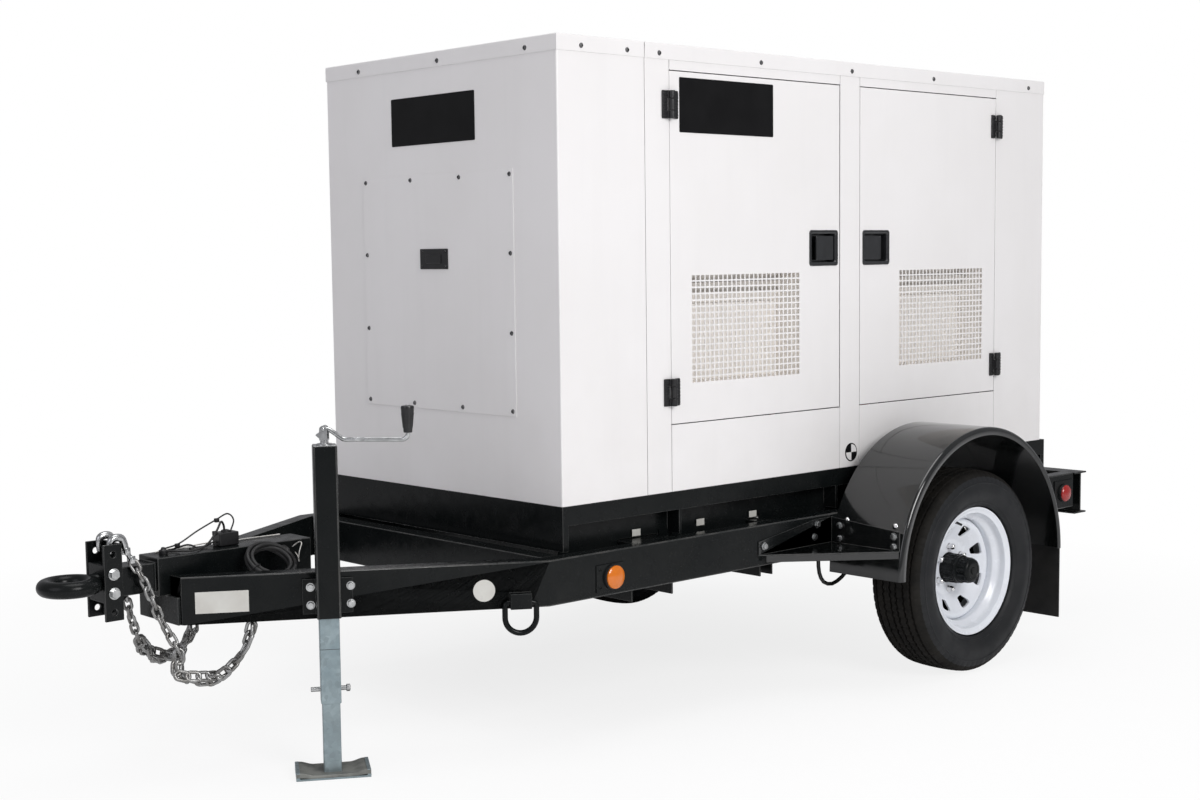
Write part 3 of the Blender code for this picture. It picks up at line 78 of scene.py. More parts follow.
def surface(name, colour, second, rough, metallic=0, patch=3, vary=0.06, grain=600, bump=0.05, dust=0,
        dust_top=0.9, coat=0, runs=0, spangle=0, chips=0, bare=(0.3, 0.29, 0.28), shine=0.5):
    """A painted, plated, cast or moulded finish with patches, runs, dust, chips and a fine grain."""
    material = bpy.data.materials.new(name)
    material.use_nodes = True
    tree = material.node_tree
    join = tree.links.new
    shader = tree.nodes["Principled BSDF"]
    shader.inputs["Metallic"].default_value = metallic
    shader.inputs["Coat Weight"].default_value = coat
    shader.inputs["Coat Roughness"].default_value = 0.06
    shader.inputs["Specular IOR Level"].default_value = shine
    where = tree.nodes.new("ShaderNodeTexCoord").outputs["Object"]

    def noise(scale, detail=3, stretch=(1, 1, 1)):
        """Noise between 0 and 1 about the object's own coordinates."""
        mapping = tree.nodes.new("ShaderNodeMapping")
        mapping.inputs["Scale"].default_value = stretch
        join(where, mapping.inputs["Vector"])
        texture = tree.nodes.new("ShaderNodeTexNoise")
        texture.inputs["Scale"].default_value = scale
        texture.inputs["Detail"].default_value = detail
        join(mapping.outputs["Vector"], texture.inputs["Vector"])
        return texture.outputs["Fac"]

    def spread(value, low, high, to_low, to_high):
        """A value moved from one range to another, held at its ends."""
        node = tree.nodes.new("ShaderNodeMapRange")
        for socket, number in zip(list(node.inputs)[1:5], (low, high, to_low, to_high)):
            socket.default_value = number
        join(value, node.inputs["Value"])
        return node.outputs["Result"]

    def mix(factor, first, other):
        """One colour over another."""
        node = tree.nodes.new("ShaderNodeMix")
        node.data_type = "RGBA"
        join(factor, node.inputs[0])
        for socket, value in ((node.inputs[6], first), (node.inputs[7], other)):
            if isinstance(value, tuple):
                socket.default_value = (*value, 1)
            else:
                join(value, socket)
        return node.outputs[2]

    def times(first, other):
        """The product of two values."""
        node = tree.nodes.new("ShaderNodeMath")
        node.operation = "MULTIPLY"
        join(first, node.inputs[0])
        join(other, node.inputs[1])
        return node.outputs[0]

    base = mix(spread(noise(patch), 0.35, 0.65, 0, 1), colour, second)
    roughness = spread(noise(28, 5), 0.3, 0.7, max(0.02, rough - vary), rough + vary)
    if spangle:
        cells = tree.nodes.new("ShaderNodeTexVoronoi")
        cells.inputs["Scale"].default_value = spangle
        join(where, cells.inputs["Vector"])
        tone = tree.nodes.new("ShaderNodeSeparateColor")
        join(cells.outputs["Color"], tone.inputs["Color"])
        base = mix(spread(tone.outputs["Red"], 0, 1, 0, 0.55), base, tuple(0.62 * c for c in colour))
        roughness = spread(tone.outputs["Green"], 0, 1, rough - vary, rough + vary)
    if runs:
        streak = spread(noise(26, 4, (1, 1, 0.05)), 0.52, 0.78, 0, runs)
        base = mix(streak, base, tuple(0.72 * c for c in colour))
    if chips:
        base = mix(spread(noise(75, 6), 0.7, 0.73, 0, chips), base, bare)
    if dust:
        height = tree.nodes.new("ShaderNodeSeparateXYZ")
        join(where, height.inputs["Vector"])
        low = spread(height.outputs["Z"], 0, dust_top, 1, 0)
        film = times(low, spread(noise(9, 8), 0.35, 0.75, 0, dust))
        base = mix(film, base, DUST)
    join(base, shader.inputs["Base Color"])
    join(roughness, shader.inputs["Roughness"])
    relief = tree.nodes.new("ShaderNodeBump")
    relief.inputs["Strength"].default_value = bump
    relief.inputs["Distance"].default_value = 0.0006
    join(noise(grain, 2), relief.inputs["Height"])
    join(relief.outputs["Normal"], shader.inputs["Normal"])
    return material


def lens(name, colour):
    """Moulded lens plastic with a fine ribbed grain."""
    material = surface(name, colour, tuple(0.8 * c for c in colour), 0.16, grain=260, bump=0.35, coat=0.5)
    material.node_tree.nodes["Principled BSDF"].inputs["Transmission Weight"].default_value = 0.15
    return material


CREAM = surface("canopy_cream", (0.85, 0.838, 0.836), (0.828, 0.815, 0.81), 0.36, vary=0.05, grain=420,
    bump=0.05, coat=0.25, runs=0.05, dust=0.1, dust_top=1.3)
# Duct cream is painted lighter than the canopy cream: painted light, standing in for light that barely
# reaches inside the duct. Its runs and dust are real dirt.
DUCT_PAINTED_LIGHT = surface("duct_cream_painted_light", (0.94, 0.91, 0.87), (0.92, 0.88, 0.83), 0.5, dust=0.06, dust_top=2.2, runs=0.06)
BLACK = surface("frame_black", (0.003, 0.0042, 0.0044), (0.0052, 0.0064, 0.0066), 0.24, vary=0.08,
    grain=260, bump=0.07, dust=0.022, dust_top=0.8, coat=0, chips=0.008, shine=0.17)
FENDER_BLACK = surface("fender_black", (0.0035, 0.0045, 0.0047), (0.006, 0.007, 0.0072), 0.13, vary=0.05,
    grain=200, bump=0.04, dust=0.022, dust_top=1.1, coat=0.5)
# Lighter black for bevelled frame edges: partly real wear and chips, partly a painted highlight along the
# edges.
EDGE_WEAR_AND_HIGHLIGHT = surface("worn_black_edge_painted_highlight", (0.016, 0.018, 0.018), (0.04, 0.04, 0.038), 0.28, patch=22, vary=0.1,
    grain=300, bump=0.1, dust=0.05, dust_top=0.8, chips=0.1)
GALV = surface("galvanised_steel", (0.36, 0.44, 0.465), (0.27, 0.345, 0.375), 0.42, 0.75, patch=18,
    vary=0.12, grain=300, bump=0.12, spangle=85, dust=0.2, dust_top=0.35)
ZINC = surface("zinc_plate", (0.6, 0.61, 0.61), (0.4, 0.41, 0.41), 0.24, 1, patch=40, vary=0.08, grain=900,
    bump=0.06)
FOOT = surface("worn_foot", (0.15, 0.155, 0.145), (0.24, 0.245, 0.225), 0.55, 0.3, patch=26, vary=0.12,
    grain=240, bump=0.4, chips=0.5, bare=(0.26, 0.26, 0.24))
CHAIN = surface("chain_steel", (0.4, 0.405, 0.4), (0.2, 0.195, 0.185), 0.34, 0.9, patch=34, vary=0.12,
    grain=500, bump=0.18, chips=0.3, bare=(0.14, 0.1, 0.07))
BOLT = surface("dark_zinc", (0.085, 0.086, 0.09), (0.19, 0.19, 0.19), 0.28, 0.9, patch=50, vary=0.08,
    grain=900)
CHROME = surface("nut_chrome", (0.8, 0.8, 0.8), (0.68, 0.68, 0.68), 0.1, 1, patch=60, vary=0.04)
TREAD = surface("tyre_tread", (0.006, 0.0058, 0.0052), (0.0115, 0.0105, 0.009), 0.72, patch=16, vary=0.1,
    grain=420, bump=0.3, dust=0.03, dust_top=0.75, shine=0.15)
WALL = surface("tyre_sidewall", (0.0095, 0.0105, 0.012), (0.014, 0.015, 0.0165), 0.5, patch=10, vary=0.08,
    grain=700, bump=0.1, dust=0.02, dust_top=0.75, shine=0.22)
RIM = surface("rim_white", (0.79, 0.82, 0.87), (0.75, 0.78, 0.83), 0.24, patch=8, grain=350, bump=0.03,
    coat=0.5, dust=0.14, dust_top=0.7)
RUBBER = surface("black_rubber", (0.0075, 0.0078, 0.008), (0.013, 0.013, 0.013), 0.52, patch=20, vary=0.1,
    grain=500, bump=0.15, dust=0.04, dust_top=0.6)
PLASTIC = surface("black_plastic", (0.008, 0.008, 0.009), (0.013, 0.013, 0.014), 0.34, patch=24, vary=0.07,
    grain=900, bump=0.16)
LATCH = surface("latch_gloss", (0.011, 0.012, 0.013), (0.017, 0.018, 0.02), 0.2, patch=30, vary=0.06,
    grain=500, bump=0.04, coat=0.4)
PLATE = surface("plate_black", (0.0045, 0.0045, 0.005), (0.0065, 0.0065, 0.007), 0.34, patch=12, shine=0.15)
LABEL = surface("blank_label", (0.62, 0.62, 0.58), (0.55, 0.54, 0.5), 0.32, patch=14, coat=0.2, dust=0.2)
AMBER = lens("amber_lens", (0.96, 0.235, 0.006))
RED = lens("red_lens", (0.42, 0.015, 0.012))
IRON = surface("engine_iron", (0.2, 0.215, 0.22), (0.15, 0.16, 0.165), 0.42, patch=9, vary=0.1, grain=320,
    bump=0.35, dust=0.15, dust_top=1.6)
ALLOY = surface("cast_alloy", (0.46, 0.46, 0.47), (0.36, 0.36, 0.37), 0.44, 0.85, patch=12, vary=0.1,
    grain=380, bump=0.3)
FOAM = surface("lining_foam", (0.03, 0.03, 0.032), (0.045, 0.045, 0.047), 0.9, patch=40, grain=160, bump=0.9)
# Near-black for sheets and bands put behind seams, behind door gaps and in a crease on the jack: painted
# shade.
PAINTED_SHADE_BLACK = surface("painted_shade_inner_black", (0.012, 0.012, 0.012), (0.02, 0.02, 0.02), 0.6, patch=6, dust=0.1, dust_top=1.5)
RED_CABLE = surface("red_cable", (0.45, 0.02, 0.015), (0.34, 0.018, 0.015), 0.4, patch=30, dust=0.1,
    dust_top=1.4)
YELLOW = surface("stop_yellow", (0.8, 0.52, 0.03), (0.72, 0.46, 0.03), 0.35, patch=20)
WIRE = surface("wire_white", (0.72, 0.71, 0.68), (0.6, 0.58, 0.54), 0.4, patch=30)
SLOTS = {                        # the finish that a material stands for, where a piece names no other
    "canopy_paint": (CREAM, DUCT_PAINTED_LIGHT), "frame_paint": (BLACK, FENDER_BLACK), "galvanised": (GALV, FOOT),
    "zinc": (ZINC, BOLT, CHROME, CHAIN), "black_plastic": (PLASTIC, LATCH, PLATE), "alloy": (LABEL, ALLOY),
    "engine_iron": (IRON,), "rim_paint": (RIM,), "cable_rubber": (WIRE,)}


# ---------------------------------------------------------------- mesh helpers
def aim(place, direction):
    """A matrix with its Z along a direction, at a place."""
    turn = Vector(direction).normalized().to_track_quat("Z", "Y")
    return Matrix.Translation(place) @ turn.to_matrix().to_4x4()


def soften(bm, verts, radius, segments):
    """Round the sharp edges between these vertices."""
    chosen = set(verts)
    edges = [e for e in bm.edges if e.verts[0] in chosen and e.verts[1] in chosen and e.is_manifold and
        e.calc_face_angle(0) > 0.5]
    bmesh.ops.bevel(bm, geom=edges, offset=radius, segments=segments, profile=0.5, affect="EDGES",
        clamp_overlap=True)


def cuboid(bm, low, high, radius=0, segments=2, matrix=None):
    """A box between two corners, with rounded edges."""
    size = [b - a for a, b in zip(low, high)]
    middle = [(a + b) / 2 for a, b in zip(low, high)]
    place = (matrix or Matrix()) @ Matrix.Translation(middle) @ Matrix.Diagonal((*[abs(s) for s in size], 1))
    verts = bmesh.ops.create_cube(bm, size=1, matrix=place)["verts"]
    if radius:
        soften(bm, verts, radius, segments)


def drum(bm, base, direction, radius, length, top=None, sides=24, bevel=0):
    """A cylinder or cone from its base along a direction."""
    matrix = aim(base, direction) @ Matrix.Translation((0, 0, length / 2))
    made = bmesh.ops.create_cone(bm, cap_ends=True, segments=sides, radius1=radius,
        radius2=radius if top is None else top, depth=length, matrix=matrix)
    if bevel:
        soften(bm, made["verts"], bevel, 2)


def hexagon(bm, base, direction, radius, height):
    """A bolt head with its washer, on a surface."""
    drum(bm, base, direction, radius * 1.25, 0.0022, sides=24)
    lifted = Vector(base) + Vector(direction).normalized() * 0.002
    drum(bm, lifted, direction, radius, height, sides=6, bevel=0.0008)


def pan_screw(bm, base, direction, radius=0.0062):
    """A domed screw head with a recess ring."""
    lathe(bm, [(0, 0.0014), (radius * 0.35, 0.0014), (radius * 0.42, 0.0036), (radius * 0.72, 0.003),
        (radius, 0), (0, 0)], base, direction, 16)


def lathe(bm, profile, base, direction, sides=64, closed=False):
    """A profile of (radius, height) spun round a direction."""
    matrix = aim(base, direction)
    rings = []
    for radius, height in profile:
        if radius < 1e-6:
            rings.append([bm.verts.new(matrix @ Vector((0, 0, height)))])
            continue
        turns = (2 * pi * i / sides for i in range(sides))
        rings.append([bm.verts.new(matrix @ Vector((radius * cos(a), radius * sin(a),
            height))) for a in turns])
    pairs = list(zip(rings, rings[1:]))
    if closed:
        pairs.append((rings[-1], rings[0]))
    for first, other in pairs:
        for i in range(sides):
            j = (i + 1) % sides
            corners = [first[i % len(first)], first[j % len(first)], other[j % len(other)],
                other[i % len(other)]]
            corners = list(dict.fromkeys(corners))
            if len(corners) > 2:
                bm.faces.new(corners)


def prism(bm, outline, axis, span, radius=0, segments=2):
    """An outline across an axis between two places: (x, y) for Z, (x, z) for Y, (y, z) for X."""
    order = {"X": (2, 0, 1), "Y": (0, 2, 1), "Z": (0, 1, 2)}[axis]
    ends = []
    for w in sorted(span):
        ends.append([bm.verts.new([(u, v, w)[k] for k in order]) for u, v in outline])
    low, high = ends
    faces = [bm.faces.new(low), bm.faces.new(high)]
    for i in range(len(low)):
        j = (i + 1) % len(low)
        faces.append(bm.faces.new((low[i], low[j], high[j], high[i])))
    bmesh.ops.recalc_face_normals(bm, faces=faces)
    if radius:
        soften(bm, low + high, radius, segments)


def loft(bm, loops, cap_first=True, cap_last=True):
    """Loops of the same count joined in turn, with their ends closed."""
    rings = [[bm.verts.new(p) for p in loop] for loop in loops]
    for first, other in zip(rings, rings[1:]):
        for i in range(len(first)):
            j = (i + 1) % len(first)
            bm.faces.new((first[i], first[j], other[j], other[i]))
    if cap_first:
        bm.faces.new(rings[0][::-1])
    if cap_last:
        bm.faces.new(rings[-1])


def across(side, first, other):
    """Two distances out from the middle on one side, the lower place first."""
    return sorted((side * first, side * other))


def arc(cu, cv, ru, rv, start, step, count):
    """Points round a centre, from an angle in degrees, a step apart."""
    angles = [radians(start + step * i) for i in range(count)]
    return [(cu + ru * cos(a), cv + rv * sin(a)) for a in angles]


def rounded(u0, u1, v0, v1, radius, steps=5):
    """The outline of a rectangle with round corners."""
    points = []
    for cu, cv, start in ((u1 - radius, v1 - radius, 0), (u0 + radius, v1 - radius, 90),
            (u0 + radius, v0 + radius, 180), (u1 - radius, v0 + radius, 270)):
        points += arc(cu, cv, radius, radius, start, 90 / steps, steps + 1)
    return points


def smooth(points, step, closed=False):
    """Points about a step apart on a Catmull-Rom curve."""
    route = [Vector(p) for p in points]
    if closed:
        padded = [route[-1], *route, route[0], route[1]]
        result = []
    else:
        padded = [2 * route[0] - route[1], *route, 2 * route[-1] - route[-2]]
        result = [route[0]]
    for i in range(1, len(padded) - 2):
        a, b, c, d = padded[i - 1:i + 3]
        count = max(1, round((c - b).length / step))
        for k in range(1, count + 1):
            t = k / count
            result.append(0.5 * ((2 * b) + (c - a) * t + (2 * a - 5 * b + 4 * c - d) * t * t +
                (3 * b - a - 3 * c + d) * t ** 3))
    return result


def tube(bm, points, radius, sides=10, closed=False, taper=None):
    """A round bar along points."""
    points = [Vector(p) for p in points]
    count = len(points)
    rings = []
    side = None
    for i, place in enumerate(points):
        before = points[(i - 1) % count] if closed or i else place
        after = points[(i + 1) % count] if closed or i < count - 1 else place
        along = (after - before).normalized()
        if side is None:
            side = along.orthogonal().normalized()
        side = (side - along * side.dot(along)).normalized()
        other = along.cross(side)
        r = radius if taper is None else taper(i / (count - 1))
        rings.append([bm.verts.new(place + r * (side * cos(a) + other * sin(a))) for a in
            (2 * pi * k / sides for k in range(sides))])
    pairs = list(zip(rings, rings[1:]))
    shift = 0
    if closed:
        gaps = [(rings[-1][0].co - v.co).length for v in rings[0]]
        shift = gaps.index(min(gaps))
        pairs.append((rings[-1], rings[0][shift:] + rings[0][:shift]))
    for first, second in pairs:
        for k in range(sides):
            j = (k + 1) % sides
            bm.faces.new((first[k], first[j], second[j], second[k]))
    if not closed:
        bm.faces.new(rings[0][::-1])
        bm.faces.new(rings[-1])


def hose(bm, points, step, radius, sides):
    """A round bar along a smooth curve through points."""
    tube(bm, smooth(points, step), radius, sides)


def perforated(bm, us, vs, is_hole, place, thickness):
    """A sheet over a grid of breakpoints, open where is_hole says, with walls round each opening."""
    us, vs = sorted(set(us)), sorted(set(vs))
    verts = {}

    def vert(i, j, layer):
        key = (i, j, layer)
        if key not in verts:
            verts[key] = bm.verts.new(place(us[i], vs[j], layer * thickness))
        return verts[key]

    def solid(i, j):
        if not (0 <= i < len(us) - 1 and 0 <= j < len(vs) - 1):
            return False
        return not is_hole((us[i] + us[i + 1]) / 2, (vs[j] + vs[j + 1]) / 2)

    for i in range(len(us) - 1):
        for j in range(len(vs) - 1):
            if not solid(i, j):
                continue
            corners = ((i, j), (i + 1, j), (i + 1, j + 1), (i, j + 1))
            bm.faces.new([vert(*c, 0) for c in corners])
            bm.faces.new([vert(*c, 1) for c in reversed(corners)])
            for (a, b), (di, dj) in zip(((0, 1), (1, 2), (2, 3), (3, 0)), ((0, -1), (1, 0), (0, 1), (-1, 0))):
                if not solid(i + di, j + dj):
                    bm.faces.new((vert(*corners[b], 0), vert(*corners[a], 0), vert(*corners[a], 1),
                        vert(*corners[b], 1)))


def finish(bm, name, material, body="chassis", slot=None, replaces=(), angle=50, shift=True, weighted=True):
    """Turn a trailer-frame bmesh into a piece that rides on a body."""
    bmesh.ops.recalc_face_normals(bm, faces=bm.faces)
    mesh = bpy.data.meshes.new(name)
    if shift:
        bmesh.ops.translate(bm, verts=bm.verts, vec=(OX, 0, 0))
    bm.to_mesh(mesh)
    bm.free()
    mesh.shade_smooth()
    mesh.set_sharp_from_angle(angle=radians(angle))
    obj = bpy.data.objects.new(name, mesh)
    bpy.context.scene.collection.objects.link(obj)
    for item in material if isinstance(material, (list, tuple)) else [material]:
        mesh.materials.append(item)
    if weighted:
        normals = obj.modifiers.new("Weighted", "WEIGHTED_NORMAL")
        normals.keep_sharp = True
    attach(obj, body)
    slot = slot or next((key for key, finishes in SLOTS.items() if mesh.materials[0] in finishes), None)
    if replaces:
        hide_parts(*replaces)
    return obj


def cad_mesh(node):
    """A CAD node's own shape, welded, with its flat faces whole."""
    bm = bmesh.new()
    bm.from_mesh(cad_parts[node].data)
    bmesh.ops.remove_doubles(bm, verts=bm.verts, dist=0.00002)
    bmesh.ops.dissolve_limit(bm, angle_limit=radians(1), verts=bm.verts, edges=bm.edges)
    return bm


def refine(node, name, material, slot, width=0.0012, segments=2, body="chassis", edge=None, pick=None,
        wide=0.003):
    """The CAD shape with rounded edges; edges that pick chooses get the wide radius."""
    bm = cad_mesh(node)

    def sharp():
        return [e for e in bm.edges if e.is_manifold and e.calc_face_angle(0) > 0.5]

    # The bevel faces take the edge material when one is given. On the frame that material is real wear plus a
    # painted highlight along the edges.
    rim = 1 if edge else -1
    if pick:
        chosen = [e for e in sharp() if pick(e)]
        bmesh.ops.bevel(bm, geom=chosen, offset=wide, segments=3, profile=0.5, affect="EDGES",
            clamp_overlap=False, material=rim)
        rest = [e for e in sharp() if e.calc_face_angle(0) > 1]
    else:
        rest = sharp()
    bmesh.ops.bevel(bm, geom=rest, offset=width, segments=segments, profile=0.5, affect="EDGES",
        clamp_overlap=False, material=rim)
    return finish(bm, name, [material, edge] if edge else material, body, slot, (node,), shift=False)


def carve(bm, cutter):
    """Cut one bmesh out of another, as a new bmesh."""
    objects = []
    for index, shape in enumerate((bm, cutter)):
        bmesh.ops.recalc_face_normals(shape, faces=shape.faces)
        mesh = bpy.data.meshes.new(f"carve_{index}")
        shape.to_mesh(mesh)
        shape.free()
        obj = bpy.data.objects.new(f"carve_{index}", mesh)
        bpy.context.scene.collection.objects.link(obj)
        objects.append(obj)
    step = objects[0].modifiers.new("Cut", "BOOLEAN")
    step.operation = "DIFFERENCE"
    step.solver = "EXACT"
    step.object = objects[1]
    graph = bpy.context.evaluated_depsgraph_get()
    mesh = bpy.data.meshes.new_from_object(objects[0].evaluated_get(graph))
    for obj in objects:
        bpy.data.objects.remove(obj)
    result = bmesh.new()
    result.from_mesh(mesh)
    return result


def tongue(side, s, off=0, z=0):
    """A place on a tongue member's outer face, s from the bend, off outward of it."""
    x = BEND_X - s * COS - off * SIN
    y = RAIL_OUT - s * SIN + off * COS
    return x, side * y, z


# ---------------------------------------------------------------- camera and light
def camera():
    """The camera, turned by its yaw, pitch and roll in radians."""
    yaw, pitch, roll = 0.833195, 0.091878, -0.012581
    ahead = Vector((cos(yaw) * cos(pitch), sin(yaw) * cos(pitch), -sin(pitch)))
    right = ahead.cross(Vector((0, 0, 1))).normalized()
    up = right.cross(ahead)
    r = cos(roll) * right + sin(roll) * up
    u = cos(roll) * up - sin(roll) * right
    data = bpy.data.cameras.new("camera")
    data.lens = 52.513
    data.sensor_width = 36
    data.shift_x = 0.01667
    data.shift_y = 0.0133
    obj = bpy.data.objects.new("camera", data)
    obj.matrix_world = Matrix.Translation(CAMERA) @ Matrix((r, u, -ahead)).transposed().to_4x4()
    bpy.context.scene.collection.objects.link(obj)
    bpy.context.scene.camera = obj


def area(name, place, target, size, power, colour):
    """A soft area light aimed at a point."""
    data = bpy.data.lights.new(name, "AREA")
    data.shape = "DISK"
    data.size = size
    data.energy = power
    data.color = colour
    obj = bpy.data.objects.new(name, data)
    obj.matrix_world = aim(place, Vector(place) - Vector(target))
    bpy.context.scene.collection.objects.link(obj)


def studio():
    """A pale floor, an even surround and soft lights."""
    bpy.context.scene.view_settings.view_transform = "Standard"
    world = bpy.data.worlds.new("surround")
    world.use_nodes = True
    bpy.context.scene.world = world
    tree = world.node_tree
    join = tree.links.new
    dim = tree.nodes["Background"]
    dim.inputs["Color"].default_value = (0.96, 0.96, 1, 1)
    dim.inputs["Strength"].default_value = 0.34
    seen = tree.nodes.new("ShaderNodeBackground")
    seen.inputs["Color"].default_value = (1, 1, 1, 1)
    seen.inputs["Strength"].default_value = 1
    rays = tree.nodes.new("ShaderNodeLightPath")
    blend = tree.nodes.new("ShaderNodeMixShader")
    join(rays.outputs["Is Camera Ray"], blend.inputs[0])
    join(dim.outputs[0], blend.inputs[1])
    join(seen.outputs[0], blend.inputs[2])
    join(blend.outputs[0], tree.nodes["World Output"].inputs["Surface"])
    area("key", (-1.1, -6.8, 4.2), (0.1, 0, 1), 3.6, 292, (1, 0.988, 0.985))
    area("top", (-0.5, -0.6, 7), (0.2, 0, 0.5), 4.5, 150, (1, 1, 1))
    area("front_fill", (-6.5, -1, 3.2), (0, 0, 0.7), 4, 56, (0.95, 0.93, 1))
    bm = bmesh.new()
    bmesh.ops.create_grid(bm, x_segments=2, y_segments=2, size=40)
    mesh = bpy.data.meshes.new("floor")
    bm.to_mesh(mesh)
    bm.free()
    floor = bpy.data.objects.new("floor", mesh)
    bpy.context.scene.collection.objects.link(floor)
    material = surface("pale_floor", (0.92, 0.92, 0.92), (0.9, 0.9, 0.9), 0.8, grain=90, bump=0.01)
    tree = material.node_tree
    join = tree.links.new
    glow = tree.nodes.new("ShaderNodeEmission")
    far = tree.nodes.new("ShaderNodeMapRange")
    for socket, number in zip(list(far.inputs)[1:5], (0.4, 3.4, 0.8, 1)):
        socket.default_value = number
    distance = tree.nodes.new("ShaderNodeVectorMath")
    distance.operation = "LENGTH"
    place = tree.nodes.new("ShaderNodeTexCoord")
    rays = tree.nodes.new("ShaderNodeLightPath")
    seen = tree.nodes.new("ShaderNodeMath")
    seen.operation = "MULTIPLY"
    blend = tree.nodes.new("ShaderNodeMixShader")
    join(place.outputs["Object"], distance.inputs[0])
    join(distance.outputs["Value"], far.inputs["Value"])
    join(far.outputs["Result"], seen.inputs[0])
    join(rays.outputs["Is Camera Ray"], seen.inputs[1])
    join(seen.outputs[0], blend.inputs[0])
    join(tree.nodes["Principled BSDF"].outputs[0], blend.inputs[1])
    join(glow.outputs[0], blend.inputs[2])
    join(blend.outputs[0], tree.nodes["Material Output"].inputs["Surface"])
    mesh.materials.append(material)


# ---------------------------------------------------------------- canopy
def roofs():
    """Two lapped roof sections with rounded top edges, and their skirt bolts."""
    for node in ("front_roof", "main_roof"):
        def outer(edge):
            a, b = (v.co for v in edge.verts)
            level = min(a.z, b.z) > TOP - 0.0005
            return level and (max(abs(a.y), abs(b.y)) > HALF_W or max(a.x, b.x) - OX > LENGTH or max(a.x,
                b.x) - OX < 0)
        refine(node, f"{node}_panel", CREAM, "canopy_paint", 0.0006, 1, pick=outer, wide=0.0034)
    bm = bmesh.new()
    z = CZ + 1.267
    for side in SIDES.values():
        for x in (0.089, 0.264, 0.391, 0.825, 1.257, 1.688, 2.246):
            pan_screw(bm, (x, side * 0.5508, z), (0, side, 0), 0.0075)
    for y in (-0.419, -0.024, 0.371):
        pan_screw(bm, (-0.0018, y, z), (-1, 0, 0), 0.0075)
    finish(bm, "roof_bolts", BOLT)


def front_end():
    """The front box with rounded corners, its access panel, screws and blank plates."""
    def corner(edge):
        a, b = (v.co for v in edge.verts)
        upright = abs(a.z - b.z) > 0.5 and abs(a.x - b.x) < 1e-5
        return upright and abs(a.x - OX) < 0.001 and abs(abs(a.y) - HALF_W) < 0.001
    refine("front_box", "front_box_shell", CREAM, "canopy_paint", 0.0006, 1, pick=corner, wide=0.005)
    refine("front_access_panel", "front_panel", CREAM, "canopy_paint", 0.0008, 2)
    bm = bmesh.new()
    for y in (-0.345, -0.117, 0.117, 0.345):
        for z in (0.255, 0.477, 0.703, 0.925):
            if abs(y) > 0.2 or not 0.3 < z < 0.9:
                pan_screw(bm, (-0.0023, y, CZ + z), (-1, 0, 0), 0.007)
    finish(bm, "panel_screws", BOLT)
    bm = bmesh.new()
    cuboid(bm, (-0.0055, -0.061, CZ + 0.659), (-0.0023, 0.072, CZ + 0.719), 0.0014)
    for y in (-0.05, 0.061):
        for z in (0.667, 0.711):
            pan_screw(bm, (-0.0055, y, CZ + z), (-1, 0, 0), 0.0045)
    cuboid(bm, (-0.0085, -0.03, CZ + 0.676), (-0.005, 0.041, CZ + 0.702), 0.0015)
    finish(bm, "inlet_plate", PLASTIC)
    bm = bmesh.new()
    prism(bm, rounded(-0.193, 0.207, CZ + 1.028, CZ + 1.17, 0.004), "X", (-0.0012, -0.0001), 0.0004, 1)
    finish(bm, "front_name_plate", PLATE)
    # A black strip behind each front seam, so the seam reads dark: painted shade.
    bm = bmesh.new()
    for side in SIDES.values():
        cuboid(bm, (0.3, side * 0.54, CZ + 0.004), (0.364, side * 0.5455, CZ + 1.24))
    finish(bm, "seam_painted_shade", PAINTED_SHADE_BLACK, slot="black_plastic")


def hinge_half(bm, x, z, side, way, outer):
    """Half a hinge: the outer half has the two end knuckles, the other half the middle one."""
    face, axis = HALF_W + 0.0003, HALF_W + 0.012

    def slab(dx, dy, dz, radius):
        xs = sorted(x + way * v for v in dx)
        ys = across(side, *dy)
        cuboid(bm, (xs[0], ys[0], z + dz[0]), (xs[1], ys[1], z + dz[1]), radius)

    slab((0.0118, 0.032), (face, face + 0.006), (-0.04, 0.04), 0.0022)
    for row in range(7):
        middle = -0.03 + row * 0.01
        slab((0.0135, 0.03), (face + 0.004, face + 0.0078), (middle - 0.0028, middle + 0.0028), 0.001)
    for low, high in (((-0.04, -0.0178), (0.0178, 0.04)) if outer else ((-0.0165, 0.0165),)):
        drum(bm, (x, side * axis, z + low), (0, 0, 1), 0.0092, high - low, sides=28, bevel=0.0014)
        slab((0.0045, 0.015), (face, face + 0.01), (low, high), 0.0016)


